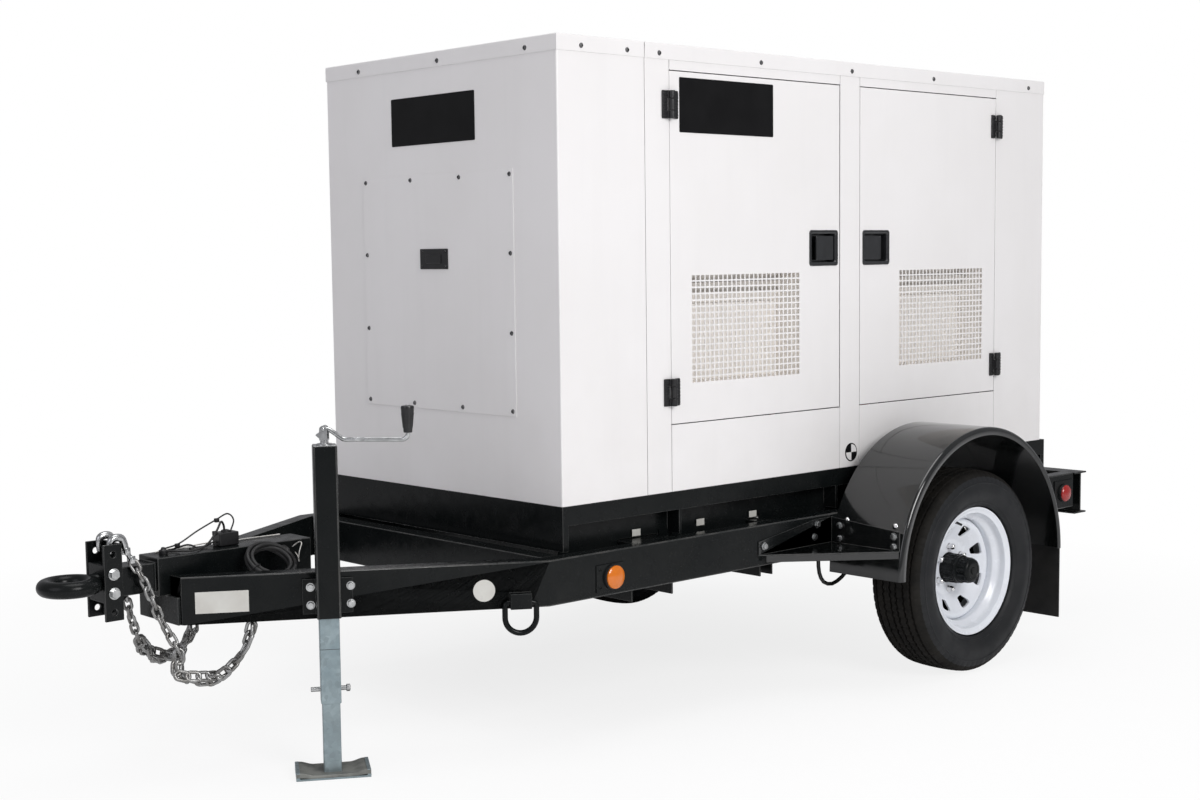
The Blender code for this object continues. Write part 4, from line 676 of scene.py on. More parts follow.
def side_walls():
    """Each long side: separate posts and strips round the doors, seals, and the fixed hinge halves."""
    for word, side in SIDES.items():
        bm = bmesh.new()
        for x0, x1, z0, z1 in ((0.333, 0.431, 0, 1.2855), (1.2015, 1.2985, 0, 1.2855),
                (2.053, 2.3417, 0, 1.2855), (0.433, 1.1995, 0, 0.1965), (1.3005, 2.051, 0, 0.1965),
                (0.433, 1.1995, 1.2225, 1.2855), (1.3005, 2.051, 1.2225, 1.2855)):
            ys = across(side, HALF_W - 0.003, HALF_W)
            cuboid(bm, (x0, ys[0], CZ + z0), (x1, ys[1], CZ + z1), 0.0011)
        finish(bm, f"{word}_side_panels", CREAM, replaces=(f"{word}_side",))
        # Black sheets behind the posts and strips, so the gaps round the doors read dark: painted shade.
        bm = bmesh.new()
        inner = across(side, HALF_W - 0.0062, HALF_W - 0.0032)
        for x0, x1, z0, z1 in ((0.36, 2.33, 0.004, 0.19), (0.36, 2.33, 1.229, 1.2855),
                (1.206, 1.294, 0.1, 1.24), (0.36, 0.427, 0.1, 1.24), (2.057, 2.33, 0.1, 1.24)):
            cuboid(bm, (x0, inner[0], CZ + z0), (x1, inner[1], CZ + z1))
        finish(bm, f"{word}_side_painted_shade_sheet", PAINTED_SHADE_BLACK, slot="black_plastic")
        bm = bmesh.new()
        depth = across(side, HALF_W - 0.052, HALF_W - 0.042)
        for (x0, x1), _ in DOORS.values():
            for a, b, c, d in ((x0 - 0.003, x1 + 0.003, 0.196, 0.211), (x0 - 0.003, x1 + 0.003, 1.208,
                    1.223), (x0 - 0.003, x0 + 0.012, 0.196, 1.223), (x1 - 0.012, x1 + 0.003, 0.196, 1.223)):
                cuboid(bm, (a, depth[0], CZ + c), (b, depth[1], CZ + d), 0.003)
        finish(bm, f"{word}_door_seals", RUBBER, slot="black_plastic")
        bm = bmesh.new()
        for which, ((x0, x1), _) in DOORS.items():
            x, way = (x0 - 0.002, -1) if which == "front" else (x1 + 0.002, 1)
            for z in HINGE_Z:
                hinge_half(bm, x, z, side, way, True)
        finish(bm, f"{word}_fixed_hinges", PLASTIC)
    refine("rear_wall", "rear_panel", CREAM, "canopy_paint", 0.0008, 1)


def door(word, side, which):
    """One door: skin with its grille, folded edges, duct, hinge halves, latch bezel and paddle."""
    (x0, x1), (g0, g1) = DOORS[which]
    z0, z1 = DOOR_Z
    leaf, node = f"{word}_{which}_leaf", f"{word}_{which}_door"
    latch_x = (1.049, 1.187) if which == "front" else (1.313, 1.451)
    finger = -1 if which == "front" else 1      # the side of the cup that fingers go in

    def at(u, v, depth):
        return u, side * (HALF_W - depth), v

    columns, rows, bar = 25, 17, 0.0046
    pitch_u = (g1 - g0 + bar) / columns
    pitch_v = (GRILLE_Z[1] - GRILLE_Z[0] + bar) / rows
    us = [x0 + 0.002, x1 - 0.002, latch_x[0] + 0.008, latch_x[1] - 0.008]
    vs = [z0 + 0.002, z1 - 0.002, LATCH_Z - 0.048, LATCH_Z + 0.048]
    for count, start, pitch, into in ((columns, g0, pitch_u, us), (rows, GRILLE_Z[0], pitch_v, vs)):
        for i in range(count):
            into += [start + i * pitch, start + (i + 1) * pitch - bar]

    def is_hole(u, v):
        if latch_x[0] + 0.008 < u < latch_x[1] - 0.008 and abs(v - LATCH_Z) < 0.048:
            return True
        if not (g0 < u < g1 and GRILLE_Z[0] < v < GRILLE_Z[1]):
            return False
        return (u - g0) % pitch_u < pitch_u - bar and (v - GRILLE_Z[0]) % pitch_v < pitch_v - bar

    bm = bmesh.new()
    perforated(bm, us, vs, is_hole, at, 0.002)
    loops = []
    for inset, depth in ((0.002, 0), (0.0012, 0.00018), (0.0005, 0.0007), (0, 0.002), (0, 0.0395),
            (0.0005, 0.04), (0.02, 0.04), (0.02, 0.002)):
        loops.append([at(u, v, depth) for u, v in ((x0 + inset, z0 + inset), (x1 - inset, z0 + inset),
            (x1 - inset, z1 - inset), (x0 + inset, z1 - inset))])
    loft(bm, loops, False, False)
    finish(bm, f"{node}_panel", CREAM, leaf, "canopy_paint", (node,), angle=40)

    # The duct's walls, back and slats use the duct cream, which is painted lighter as painted light.
    bm = bmesh.new()
    low, high, wall = GRILLE_Z[0] - 0.003, GRILLE_Z[1] + 0.003, 0.004
    left, right = g0 - 0.003, g1 + 0.003
    for u0, u1, v0, v1, d0, d1 in ((left - wall, left, low, high, 0.002, 0.11),
            (right, right + wall, low, high, 0.002, 0.11), (left - wall, right + wall, low - wall, low,
            0.002, 0.11), (left - wall, right + wall, high, high + wall, 0.002, 0.11),
            (left, right, low, high - 0.09, 0.104, 0.11)):
        ys = across(side, HALF_W - d0, HALF_W - d1)
        cuboid(bm, (u0, ys[0], v0), (u1, ys[1], v1), 0.0008, 1)
    for row in range(3):
        v = high - 0.09 + 0.03 * row
        slat = [(side * (HALF_W - d), v + dv) for d, dv in ((0.1085, 0.001), (0.1085, 0.003),
            (0.086, 0.0335), (0.086, 0.0315))]
        prism(bm, slat, "X", (left, right))
    finish(bm, f"{node}_duct", DUCT_PAINTED_LIGHT, leaf, "canopy_paint")

    bm = bmesh.new()
    for u0, u1, v0, v1 in ((x0 + 0.022, left - 0.008, z0 + 0.022, z1 - 0.022),
            (right + 0.008, latch_x[0] - 0.004 if which == "front" else x1 - 0.022, z0 + 0.022, z1 - 0.022),
            (left - 0.004, right + 0.004, high + 0.008, z1 - 0.022), (left - 0.004, right + 0.004,
            z0 + 0.022, low - 0.008)):
        if which == "rear" and u0 == x0 + 0.022:
            u0 = latch_x[1] + 0.004
        ys = across(side, HALF_W - 0.0022, HALF_W - 0.028)
        cuboid(bm, (u0, ys[0], v0), (u1, ys[1], v1), 0.004)
    finish(bm, f"{node}_foam", FOAM, leaf)

    bm = bmesh.new()
    x, way = (x0 - 0.002, 1) if which == "front" else (x1 + 0.002, -1)
    for z in HINGE_Z:
        hinge_half(bm, x, z, side, way, False)
    finish(bm, f"{node}_hinges", PLASTIC, leaf, "black_plastic")

    bm = bmesh.new()
    loops = []
    for inset, depth, radius in ((0, 0, 0.009), (0, -0.0022, 0.009), (0.001, -0.0031, 0.0085),
            (0.0065, -0.0034, 0.007), (0.0078, -0.0028, 0.0065), (0.01, -0.0018, 0.006),
            (0.0112, -0.0004, 0.006), (0.0125, 0.003, 0.006), (0.014, 0.026, 0.006)):
        outline = rounded(latch_x[0] + inset, latch_x[1] - inset, LATCH_Z - 0.056 + inset,
            LATCH_Z + 0.056 - inset, radius)
        loops.append([at(u, v, depth) for u, v in outline])
    loft(bm, loops, False, True)
    back = rounded(latch_x[0] + 0.009, latch_x[1] - 0.009, LATCH_Z - 0.047, LATCH_Z + 0.047, 0.006)
    loft(bm, [[at(u, v, 0.0025) for u, v in back], [at(u, v, 0.0285) for u, v in back]], False, True)
    finish(bm, f"{node}_latch_bezel", LATCH, leaf, "black_plastic", angle=35)

    pivot = latch_x[1] - 0.016 if which == "front" else latch_x[0] + 0.016
    tip = pivot + finger * 0.084
    bm = bmesh.new()
    us = sorted((pivot, tip))
    loops = []
    for inset, depth in ((0, 0.0088), (0, 0.0042), (0.0007, 0.0033), (0.002, 0.003)):
        shape = rounded(us[0] + inset, us[1] - inset, LATCH_Z - 0.038 + inset, LATCH_Z + 0.038 - inset, 0.004)
        loops.append([at(u, v, depth) for u, v in shape])
    loft(bm, loops)
    tube(bm, [at(tip - finger * 0.0035, LATCH_Z + dz, 0.0048) for dz in (-0.0355, -0.033, 0.033, 0.0355)],
        0.0035, 16, taper=lambda t: 0.0028 if t in (0, 1) else 0.0035)
    finish(bm, f"{node}_paddle", LATCH, f"{word}_{which}_paddle", "black_plastic", (f"{node}_latch",),
        angle=35)


def canopy():
    """Everything of the canopy."""
    roofs()
    front_end()
    side_walls()
    for word, side in SIDES.items():
        for which in DOORS:
            door(word, side, which)
    bm = bmesh.new()
    prism(bm, rounded(0.472, 0.88, CZ + 1.046, CZ + 1.204, 0.004), "Y",
        (-HALF_W - 0.0012, -HALF_W + 0.0002), 0.0004, 1)
    finish(bm, "door_name_plate", PLATE, "left_front_leaf", "black_plastic")
    bm = bmesh.new()
    lathe(bm, [(0, 0), (0.03, 0), (0.03, 0.0006), (0, 0.001)], (1.257, -HALF_W, CZ + 0.047), (0, -1, 0))
    finish(bm, "balance_mark", PLATE)
    bm = bmesh.new()
    for start in (0, 180):
        sector = [(1.257, CZ + 0.047), *arc(1.257, CZ + 0.047, 0.026, 0.026, start, 7.5, 13)]
        prism(bm, sector, "Y", (-HALF_W - 0.0016, -HALF_W - 0.0004))
    finish(bm, "balance_mark_quarters", CREAM)


# ---------------------------------------------------------------- frame
def frame_members():
    """Rails, cross members, tank base, drawbar, bumper and axle with softened edges."""
    def rail_corner(edge):
        a, b = (v.co for v in edge.verts)
        middle = (a + b) / 2
        level = abs(a.z - b.z) < 1e-4 and (a - b).length > 0.3
        edge_z = min(abs(middle.z - RAIL_TOP), abs(middle.z - RAIL_BOTTOM)) < 0.0005
        if not (level and edge_z):
            return False
        if middle.x - OX > BEND_X:
            return abs(abs(middle.y) - RAIL_OUT) < 0.001
        s = (BEND_X - (middle.x - OX)) / COS
        return abs(abs(middle.y) - (RAIL_OUT - s * SIN)) < 0.002
    for word in SIDES:
        refine(f"{word}_rail", f"{word}_rail_tube", BLACK, "frame_paint", 0.0008, 1, edge=EDGE_WEAR_AND_HIGHLIGHT,
            pick=rail_corner, wide=0.0042)
    for node, width in (("front_cross_member", 0.003), ("cross_member_1", 0.0015),
            ("cross_member_2", 0.0015), ("drawbar_tube", 0.0025), ("rear_bumper", 0.0018),
            ("axle_beam", 0.0012), ("skid_base", 0.0014)):
        refine(node, f"{node}_steel", BLACK, "frame_paint", width, 2, edge=EDGE_WEAR_AND_HIGHLIGHT)
    bm = bmesh.new()
    for side in SIDES.values():
        for x, z in ((0.756, -0.193), (1.003, -0.153), (0.99, -0.192)):
            hexagon(bm, (x, side * 0.6183, CZ + z), (0, side, 0), 0.0095, 0.0075)
        for y, z in ((0.65, -0.163), (0.65, -0.203), (0.862, -0.174), (0.862, -0.206)):
            hexagon(bm, (1.0765, side * y, CZ + z), (-1, 0, 0), 0.0095, 0.0075)
    finish(bm, "step_bolts", ZINC)
    bm = bmesh.new()
    for side in SIDES.values():
        ys = across(side, 0.4992, 0.503)
        for x0, x1 in ((0.024, 0.2495), (0.4205, 0.7995), (0.8605, 2.35)):
            cuboid(bm, (x0, ys[0], RAIL_TOP - 0.036), (x1, ys[1], RAIL_TOP + 0.012))
    finish(bm, "splash_strips", BLACK)
    bm = bmesh.new()
    for x, z in ((0.31, 0.5405), (0.58, 0.541), (0.815, 0.5405)):
        cuboid(bm, (x, -0.5042, z), (x + 0.034, -0.5031, z + 0.02), 0.0003, 1)
    px, py, _ = tongue(-1, 0.18, 0)
    lathe(bm, [(0, 0), (0.03, 0), (0.03, 0.0005), (0, 0.0008)], (px, py, 0.462), (-SIN, -COS, 0), 40)
    finish(bm, "blank_tags", LABEL)
    for word, side in SIDES.items():
        refine(f"{word}_step_bracket", f"{word}_step", FENDER_BLACK, "frame_paint", 0.001, 2, edge=EDGE_WEAR_AND_HIGHLIGHT)


def torus(bm, centre, major, minor, steps=72, sides=26):
    """A ring lying level."""
    points = [Vector(centre) + major * Vector((cos(a), sin(a),
        0)) for a in (2 * pi * i / steps for i in range(steps))]
    tube(bm, points, minor, sides, closed=True)


def coupler():
    """Channel with its holes, the lunette eye, bolts and nuts."""
    refine("coupler_channel", "coupler_steel", BLACK, "frame_paint", 0.0012, 2, edge=EDGE_WEAR_AND_HIGHLIGHT)
    bm = bmesh.new()
    torus(bm, (-1.199, 0, 0.534), 0.0605, 0.0213)
    lathe(bm, [(0, 0), (0.0285, 0), (0.028, 0.006), (0.024, 0.016), (0.0235, 0.026), (0, 0.03)],
        (-1.1165, 0, 0.534), (-1, 0, 0), 36)
    cuboid(bm, (-1.1246, -0.0423, 0.4842), (-1.0836, 0.0423, 0.5838), 0.003)
    finish(bm, "tow_eye", BLACK, replaces=("lunette_eye",), angle=40)
    bm = bmesh.new()
    for z in (0.559, 0.509):
        drum(bm, (-1.1005, -0.062, z), (0, 1, 0), 0.0078, 0.124, sides=18)
        for side in (-1, 1):
            drum(bm, (-1.1005, side * 0.0512, z), (0, side, 0), 0.0158, 0.0022, sides=28, bevel=0.0005)
            drum(bm, (-1.1005, side * 0.0532, z), (0, side, 0), 0.0132, 0.0095, sides=6, bevel=0.0012)
    finish(bm, "eye_bolts", ZINC, angle=40)


# ---------------------------------------------------------------- running gear
def tyre(word, side):
    """A tyre with zigzag ribs, open shoulder lugs and raised sidewall rings."""
    count = 360
    x, y, z = WHEEL
    half = [(0.192, 0.06, 1), (0.205, 0.066, 1), (0.2112, 0.069, 1), (0.2128, 0.08, 1), (0.217, 0.0845, 1),
        (0.2215, 0.0872, 1), (0.2222, 0.0886, 1), (0.2262, 0.0904, 1), (0.227, 0.0898, 1),
        (0.24, 0.0958, 1), (0.25, 0.0994, 1), (0.26, 0.1008, 1), (0.272, 0.1001, 1), (0.285, 0.098, 1),
        (0.287, 0.099, 1), (0.29, 0.0985, 1), (0.2915, 0.0968, 1), (0.3, 0.095, 2), (0.3075, 0.0918, 3),
        (0.316, 0.0858, 3), (0.3215, 0.079, 3), (0.3238, 0.0735, 3), (0.3246, 0.069, 4),
        (0.3176, 0.0672, 5), (0.3176, 0.0622, 5), (0.3256, 0.0604, 4), (0.327, 0.042, 6),
        (0.3186, 0.0404, 7), (0.3186, 0.0356, 7), (0.3273, 0.034, 6), (0.3278, 0.015, 6),
        (0.319, 0.0135, 7), (0.319, 0.0085, 7), (0.3279, 0.007, 6)]
    profile = [(r, o, kind) for r, o, kind in half] + [(r, -o, kind) for r, o, kind in reversed(half)]
    profile += [(0.192, -0.05, 1), (0.265, -0.086, 1), (0.308, -0.056, 1), (0.308, 0.056, 1),
        (0.265, 0.086, 1), (0.192, 0.05, 1)]
    bm = bmesh.new()
    rings = []
    for i in range(count):
        a = 2 * pi * i / count
        wave = (0, 1, 2, 1)[i % 4] - 1
        ring = []
        for r, o, kind in profile:
            sign = 1 if o > 0 else -1
            if kind >= 4 and abs(o) < 0.065:
                o += 0.0021 * wave
            if kind == 3 and (i + (2 if sign > 0 else 0)) % 5 == 0:
                r -= 0.0026
            if kind == 2 and (i + (2 if sign > 0 else 0)) % 5 == 0:
                r -= 0.0008
                o -= sign * 0.0012
            if kind == 6 and (i + (3 if sign > 0 else 0)) % 6 == 0:
                r -= 0.003
            ring.append(bm.verts.new((x + r * cos(a), side * (y + o), z + r * sin(a))))
        rings.append(ring)
    for i in range(count):
        first, other = rings[i], rings[(i + 1) % count]
        for j in range(len(profile)):
            k = (j + 1) % len(profile)
            face = bm.faces.new((first[j], other[j], other[k], first[k]))
            face.material_index = 0 if profile[j][2] >= 3 and profile[k][2] >= 3 else 1
    finish(bm, f"{word}_tyre_tread", [TREAD, WALL], f"{word}_wheel", "tyre_rubber", (f"{word}_tyre",),
        angle=32, weighted=False)


def wheel(word, side):
    """A white steel wheel with its dish, slots, nuts, hub and valve."""
    x, y, z = WHEEL
    centre, out = (x, side * y, z), (0, side, 0)
    bm = bmesh.new()
    lathe(bm, [(0.207, 0.0748), (0.2073, 0.0735), (0.2068, 0.069), (0.204, 0.0655), (0.195, 0.064),
        (0.1908, 0.06), (0.1905, 0.044), (0.186, 0.04), (0.173, 0.032), (0.17, 0.028), (0.17, -0.008),
        (0.173, -0.015), (0.1905, -0.044), (0.1908, -0.06), (0.195, -0.064), (0.2065, -0.068),
        (0.2073, -0.0735), (0.207, -0.0748), (0.203, -0.0748), (0.196, -0.069), (0.187, -0.066),
        (0.1862, -0.045), (0.17, -0.016), (0.166, -0.01), (0.166, 0.027), (0.169, 0.033), (0.18, 0.0395),
        (0.185, 0.0445), (0.1868, 0.052), (0.187, 0.064), (0.1885, 0.0672), (0.1955, 0.069),
        (0.201, 0.0735), (0.2035, 0.0748)], centre, out, 128, closed=True)
    finish(bm, f"{word}_rim_barrel", RIM, f"{word}_wheel", "rim_paint", (f"{word}_rim",), angle=40)
    disc = bmesh.new()
    lathe(disc, [(0.1662, 0.004), (0.164, 0.0115), (0.16, 0.0152), (0.154, 0.0168), (0.148, 0.016),
        (0.142, 0.012), (0.11, -0.0105), (0.096, -0.019), (0.089, -0.0215), (0.082, -0.0205),
        (0.078, -0.0225), (0.05, -0.0235), (0.0485, -0.026), (0.0485, -0.0308), (0.085, -0.0305),
        (0.096, -0.0265), (0.148, 0.0085), (0.1545, 0.0098), (0.16, 0.006), (0.164, -0.006)], centre, out,
        128, closed=True)
    cutter = bmesh.new()
    for number in range(8):
        a = radians(22.5 + 45 * number)
        outline = []
        for u, v in ((-0.006, -0.017), (0.006, -0.017), (0.0105, -0.015), (0.0135, -0.008), (0.0205, 0.006),
                (0.0205, 0.011), (0.017, 0.0145), (0, 0.016), (-0.017, 0.0145), (-0.0205, 0.011),
                (-0.0205, 0.006), (-0.0135, -0.008), (-0.0105, -0.015)):
            r = 0.1255 + v
            outline.append((x + r * cos(a) - u * sin(a), z + r * sin(a) + u * cos(a)))
        prism(cutter, outline, "Y", across(side, y - 0.06, y + 0.06))
    finish(carve(disc, cutter), f"{word}_rim_disc", RIM, f"{word}_wheel", "rim_paint", angle=38)

    bm = bmesh.new()
    for number in range(6):
        a = radians(30 + 60 * number)
        place = (x + 0.07 * cos(a), side * (y - 0.024), z + 0.07 * sin(a))
        lathe(bm, [(0.0118, 0), (0.0112, 0.005), (0, 0.005)], place, out, 20)
        drum(bm, place, out, 0.0105, 0.018, sides=6, bevel=0.0012)
        lathe(bm, [(0.0098, 0.0175), (0.0082, 0.0225), (0.004, 0.025), (0, 0.0254)], place, out, 20)
    finish(bm, f"{word}_wheel_nuts", CHROME, f"{word}_wheel", "zinc")

    bm = bmesh.new()
    lathe(bm, [(0, -0.031), (0.046, -0.031), (0.046, 0.018), (0.045, 0.021), (0.043, 0.0222),
        (0.043, 0.0262), (0.0452, 0.027), (0.0452, 0.0325), (0.0405, 0.0345), (0.0392, 0.04),
        (0.0398, 0.064), (0.0385, 0.07), (0.034, 0.074), (0.026, 0.0752), (0.0245, 0.0738), (0.012, 0.0738),
        (0.0105, 0.077), (0, 0.0778)], centre, out, 64)
    for number in range(24):
        a = 2 * pi * number / 24
        for r, low, high in ((0.046, -0.02, 0.0175), (0.0398, 0.0405, 0.063)):
            base = (x + (r - 0.0004) * cos(a), side * (y + low), z + (r - 0.0004) * sin(a))
            drum(bm, base, out, 0.0022, high - low, sides=8)
    lathe(bm, [(0.088, -0.0322), (0.0895, -0.0335), (0.0895, -0.0405), (0.133, -0.0425), (0.1348, -0.0445),
        (0.1348, -0.092), (0.1295, -0.092), (0.1295, -0.052), (0.06, -0.052), (0.06, -0.094),
        (0.0185, -0.094), (0.0185, -0.0322)], centre, out, 64, closed=True)
    lathe(bm, [(0.045, -0.096), (0.15, -0.096), (0.158, -0.0915), (0.158, -0.0895), (0.148, -0.0938),
        (0.045, -0.0938)], centre, out, 64, closed=True)
    lathe(bm, [(0.153, -0.0945), (0.153, -0.03), (0.1495, -0.03), (0.1495, -0.093)], centre, out, 64,
        closed=True)
    finish(bm, f"{word}_hub_cap", BLACK, f"{word}_wheel", "frame_paint", (f"{word}_hub",), angle=40)
    bm = bmesh.new()
    a = radians(112)
    foot = Vector((x + 0.178 * cos(a), side * (y + 0.041), z + 0.178 * sin(a)))
    tube(bm, [foot, foot + Vector((-0.002 * cos(a), side * 0.013, -0.002 * sin(a))),
        foot + Vector((-0.009 * cos(a), side * 0.032, -0.009 * sin(a)))], 0.0042, 12,
        taper=lambda t: (0.0056, 0.0044, 0.0036)[round(t * 2)])
    finish(bm, f"{word}_valve", RUBBER, f"{word}_wheel", "tyre_rubber")


def fender(word, side):
    """A round fender with a rolled outer edge, and the flap strapped behind it."""
    fx, fz = FENDER
    section = [(FENDER_R, 0.6125), (FENDER_R, 0.879), *arc(0.432, 0.8796, 0.012, 0.0122, 15, 15, 6)]
    section += [(0.4185, 0.8918), (0.4178, 0.8908), (0.4185, 0.889)]
    section += [*arc(0.4315, 0.8792, 0.0095, 0.0096, 90, -18, 6), (0.441, 0.6125)]
    loops = []
    for i in range(97):
        a = pi * i / 96
        loops.append([(fx - r * cos(a), side * w, fz + r * sin(a)) for r, w in section])
    bm = bmesh.new()
    loft(bm, loops)
    finish(bm, f"{word}_fender_shell", FENDER_BLACK, replaces=(f"{word}_fender",), angle=60, weighted=False)
    bm = bmesh.new()
    a = radians(22)
    for w in (0.655, 0.845):
        place = (fx - FENDER_R * cos(a), side * w, fz + FENDER_R * sin(a))
        lathe(bm, [(0, 0.0048), (0.0045, 0.0042), (0.0085, 0.0018), (0.0095, 0), (0, 0)], place,
            (-cos(a), 0, sin(a)), 20)
    finish(bm, f"{word}_fender_bolts", CHROME)
    bm = bmesh.new()
    ys = across(side, 0.6325, 0.8798)
    cuboid(bm, (1.9607, ys[0], 0.1092), (1.9664, ys[1], 0.4098), 0.0012, 1)
    finish(bm, f"{word}_flap", RUBBER, slot="flap_rubber", replaces=(f"{word}_mudflap",))
    bm = bmesh.new()
    cuboid(bm, (1.9664, ys[0] + 0.004, 0.372), (1.9704, ys[1] - 0.004, 0.398), 0.001, 1)
    for w in (0.66, 0.72, 0.79, 0.85):
        hexagon(bm, (1.9704, side * w, 0.385), (1, 0, 0), 0.0065, 0.005)
    finish(bm, f"{word}_flap_strap", BLACK)
    bm = bmesh.new()
    prism(bm, arc(fx, fz, -0.4405, 0.4405, 24, 3, 45), "Y", across(side, 0.6126, 0.615), 0.0006, 1)
    finish(bm, f"{word}_fender_web", FENDER_BLACK)


# ---------------------------------------------------------------- jack, rings, chains, cables
def jack():
    """Drop-leg jack: square tubes, leg pin, screw head, foot pad and cap."""
    x, y = JACK

    def tall(length, reach=0):
        """Picks long upright edges further than reach from the jack's axis."""
        def pick(edge):
            a, b = (v.co for v in edge.verts)
            return (abs(a.z - b.z) > length and (a - b).xy.length < 1e-4 and hypot(a.x - OX - x,
                a.y - y) > reach)
        return pick

    refine("jack_outer_tube", "jack_tube", BLACK, "frame_paint", 0.001, 2, edge=EDGE_WEAR_AND_HIGHLIGHT, pick=tall(0.2, 0.041),
        wide=0.0055)
    refine("jack_ram", "jack_ram_tube", GALV, "galvanised", 0.0008, 2, "jack_inner", pick=tall(0.2, 0.035),
        wide=0.0035)
    refine("jack_leg", "jack_foot_leg", GALV, "galvanised", 0.0009, 2, "jack_inner", pick=tall(0.2),
        wide=0.003)
    refine("leg_pin", "jack_pin", ZINC, "zinc", 0.001, 2, "drop_leg_pin")
    bm = bmesh.new()
    lathe(bm, [(0, 0.5405), (0.0086, 0.5405), (0.0086, 0.8742), (0.0206, 0.8746), (0.021, 0.8752),
        (0.021, 0.8786), (0.02, 0.8793), (0.0112, 0.8796), (0.0106, 0.89), (0, 0.89)], (0, 0, 0), (0, 0, 1),
        40)
    cuboid(bm, (-0.0105, -0.0124, 0.888), (0.0105, 0.0124, 0.8925), 0.0008)
    for way in (-1, 1):
        cheek = [(0.0105, 0.889), (0.0105, 0.916), *arc(0, 0.9162, 0.0105, 0.0105, 15, 15, 11)]
        cheek += [(-0.0105, 0.91), (-0.019, 0.904), (-0.02, 0.901), (-0.0105, 0.893), (-0.0105, 0.889)]
        prism(bm, cheek, "Y", across(way, 0.0088, 0.012), 0.0006)
        lathe(bm, [(0, 0.0168), (0.003, 0.0166), (0.0056, 0.0148), (0.006, 0.0124), (0, 0.0124)],
            (0, 0, 0.918), (0, way, 0), 20)
    drum(bm, (0, -0.0125, 0.918), (0, 1, 0), 0.0036, 0.025, sides=16)
    place = Matrix.Translation((x, y, 0))
    bmesh.ops.transform(bm, verts=bm.verts, matrix=place @ Matrix.Rotation(CRANK_TURN, 4, "Z"))
    finish(bm, "crank_clevis", ZINC, "crank_shaft", "zinc", ("crank_head",))
    bm = bmesh.new()
    loops = []
    for i in range(33):
        u = -0.0974 + 0.1948 * i / 32
        rise = min(1, max(0, (abs(u) - 0.048) / 0.038))
        rise = rise * rise * (3 - 2 * rise)
        top, low = 0.013 + 0.0085 * rise, 0.0002 + 0.005 * rise
        loops.append([(u, v, w) for v, w in ((-0.0574, low + 0.004), (-0.0525, low), (0.0525, low),
            (0.0574, low + 0.004), (0.0574, top - 0.002), (0.056, top), (0.048, top - 0.0012),
            (0, top - 0.003), (-0.048, top - 0.0012), (-0.056, top), (-0.0574, top - 0.002))])
    loft(bm, loops)
    turn = place @ BEND_AXIS
    bmesh.ops.transform(bm, verts=bm.verts, matrix=turn)
    finish(bm, "jack_foot_pad", FOOT, "jack_inner", "galvanised", angle=38)
    # A thin black band round the ram: painted shade, standing in for the shade in a crease.
    bm = bmesh.new()
    prism(bm, rounded(-0.0264, 0.0264, -0.0264, 0.0264, 0.0038), "Z", (0.3385, 0.3398))
    bmesh.ops.transform(bm, verts=bm.verts, matrix=turn)
    finish(bm, "jack_ram_painted_crease_shade", PAINTED_SHADE_BLACK, "jack_inner", "galvanised")
    bm = bmesh.new()
    cuboid(bm, (-0.03, -0.03, 0.874), (0.03, 0.03, 0.876), 0.0009, 2, turn)
    cuboid(bm, (-0.03, -0.03, 0.42), (-0.0285, 0.03, 0.4212), 0, 2, turn)
    finish(bm, "jack_cap", ZINC)


def crank():
    """The jack's folding crank with its turning grip."""
    x, y = JACK
    away = CRANK_TURN

    def radial(u, z):
        return x + u * cos(away), y + u * sin(away), z

    bm = bmesh.new()
    corner, reach = 0.016, 0.222
    bend = [radial(reach - corner + corner * sin(t),
        0.89 + corner - corner * cos(t)) for t in (radians(7.5 * i) for i in range(13))]
    drop = smooth([radial(0, 0.918), radial(0.016, 0.914), radial(0.042, 0.896), radial(0.054, 0.89),
        radial(0.08, 0.89)], 0.004)
    tube(bm, [*drop, radial(0.14, 0.89), *bend, radial(reach, 0.975), radial(reach, 0.9795)], 0.006, 20)
    lathe(bm, [(0.0042, -0.008), (0.008, -0.008), (0.0082, -0.007), (0.0082, 0.007), (0.008, 0.008),
        (0.0042, 0.008)], radial(0, 0.918), (-sin(away), cos(away), 0), 28, closed=True)
    finish(bm, "crank_rod", ZINC, "crank", "zinc", ("crank_handle",))
    bm = bmesh.new()
    lathe(bm, [(0.0066, 0), (0.0108, 0), (0.0116, 0.0012), (0.012, 0.01), (0.0148, 0.04), (0.0172, 0.06),
        (0.0174, 0.065), (0.016, 0.069), (0.012, 0.07), (0.0066, 0.07)], radial(reach, 0.908), (0, 0, 1),
        48, closed=True)
    for i in range(12):
        t = 2 * pi * i / 12
        ends = [(0.012, 0.012), (0.016, 0.052)]
        tube(bm, [Vector(radial(reach, 0.908 + h)) + Vector((r * cos(t), r * sin(t), 0)) for r, h in ends],
            0.0011, 6)
    finish(bm, "crank_grip_rubber", PLASTIC, "grip", "black_plastic", ("crank_grip",))


def tongue_plates():
    """The jack's bolts and the blank label on the tongue."""
    bm = bmesh.new()
    for u in (-0.053, 0.053):
        for z in (0.448, 0.496):
            px, py, _ = tongue(-1, 0.59 + u, 0.008)
            hexagon(bm, (px, py, z), (-SIN, -COS, 0), 0.0092, 0.007)
    finish(bm, "jack_bolts", ZINC)
    bm = bmesh.new()
    a, b = tongue(-1, 0.803, 0), tongue(-1, 0.941, 0)
    along = (Vector(b) - Vector(a)).normalized()
    out = Vector((-SIN, -COS, 0)) * 0.0008
    low, high = Vector((0, 0, 0.438)), Vector((0, 0, 0.495))
    corners = [Vector(a) + low, Vector(a) + along * 0.138 + low, Vector(a) + along * 0.138 + high,
        Vector(a) + high]
    loft(bm, [[c - out * 0.2 for c in corners], [c + out for c in corners]])
    finish(bm, "blank_plate", LABEL)


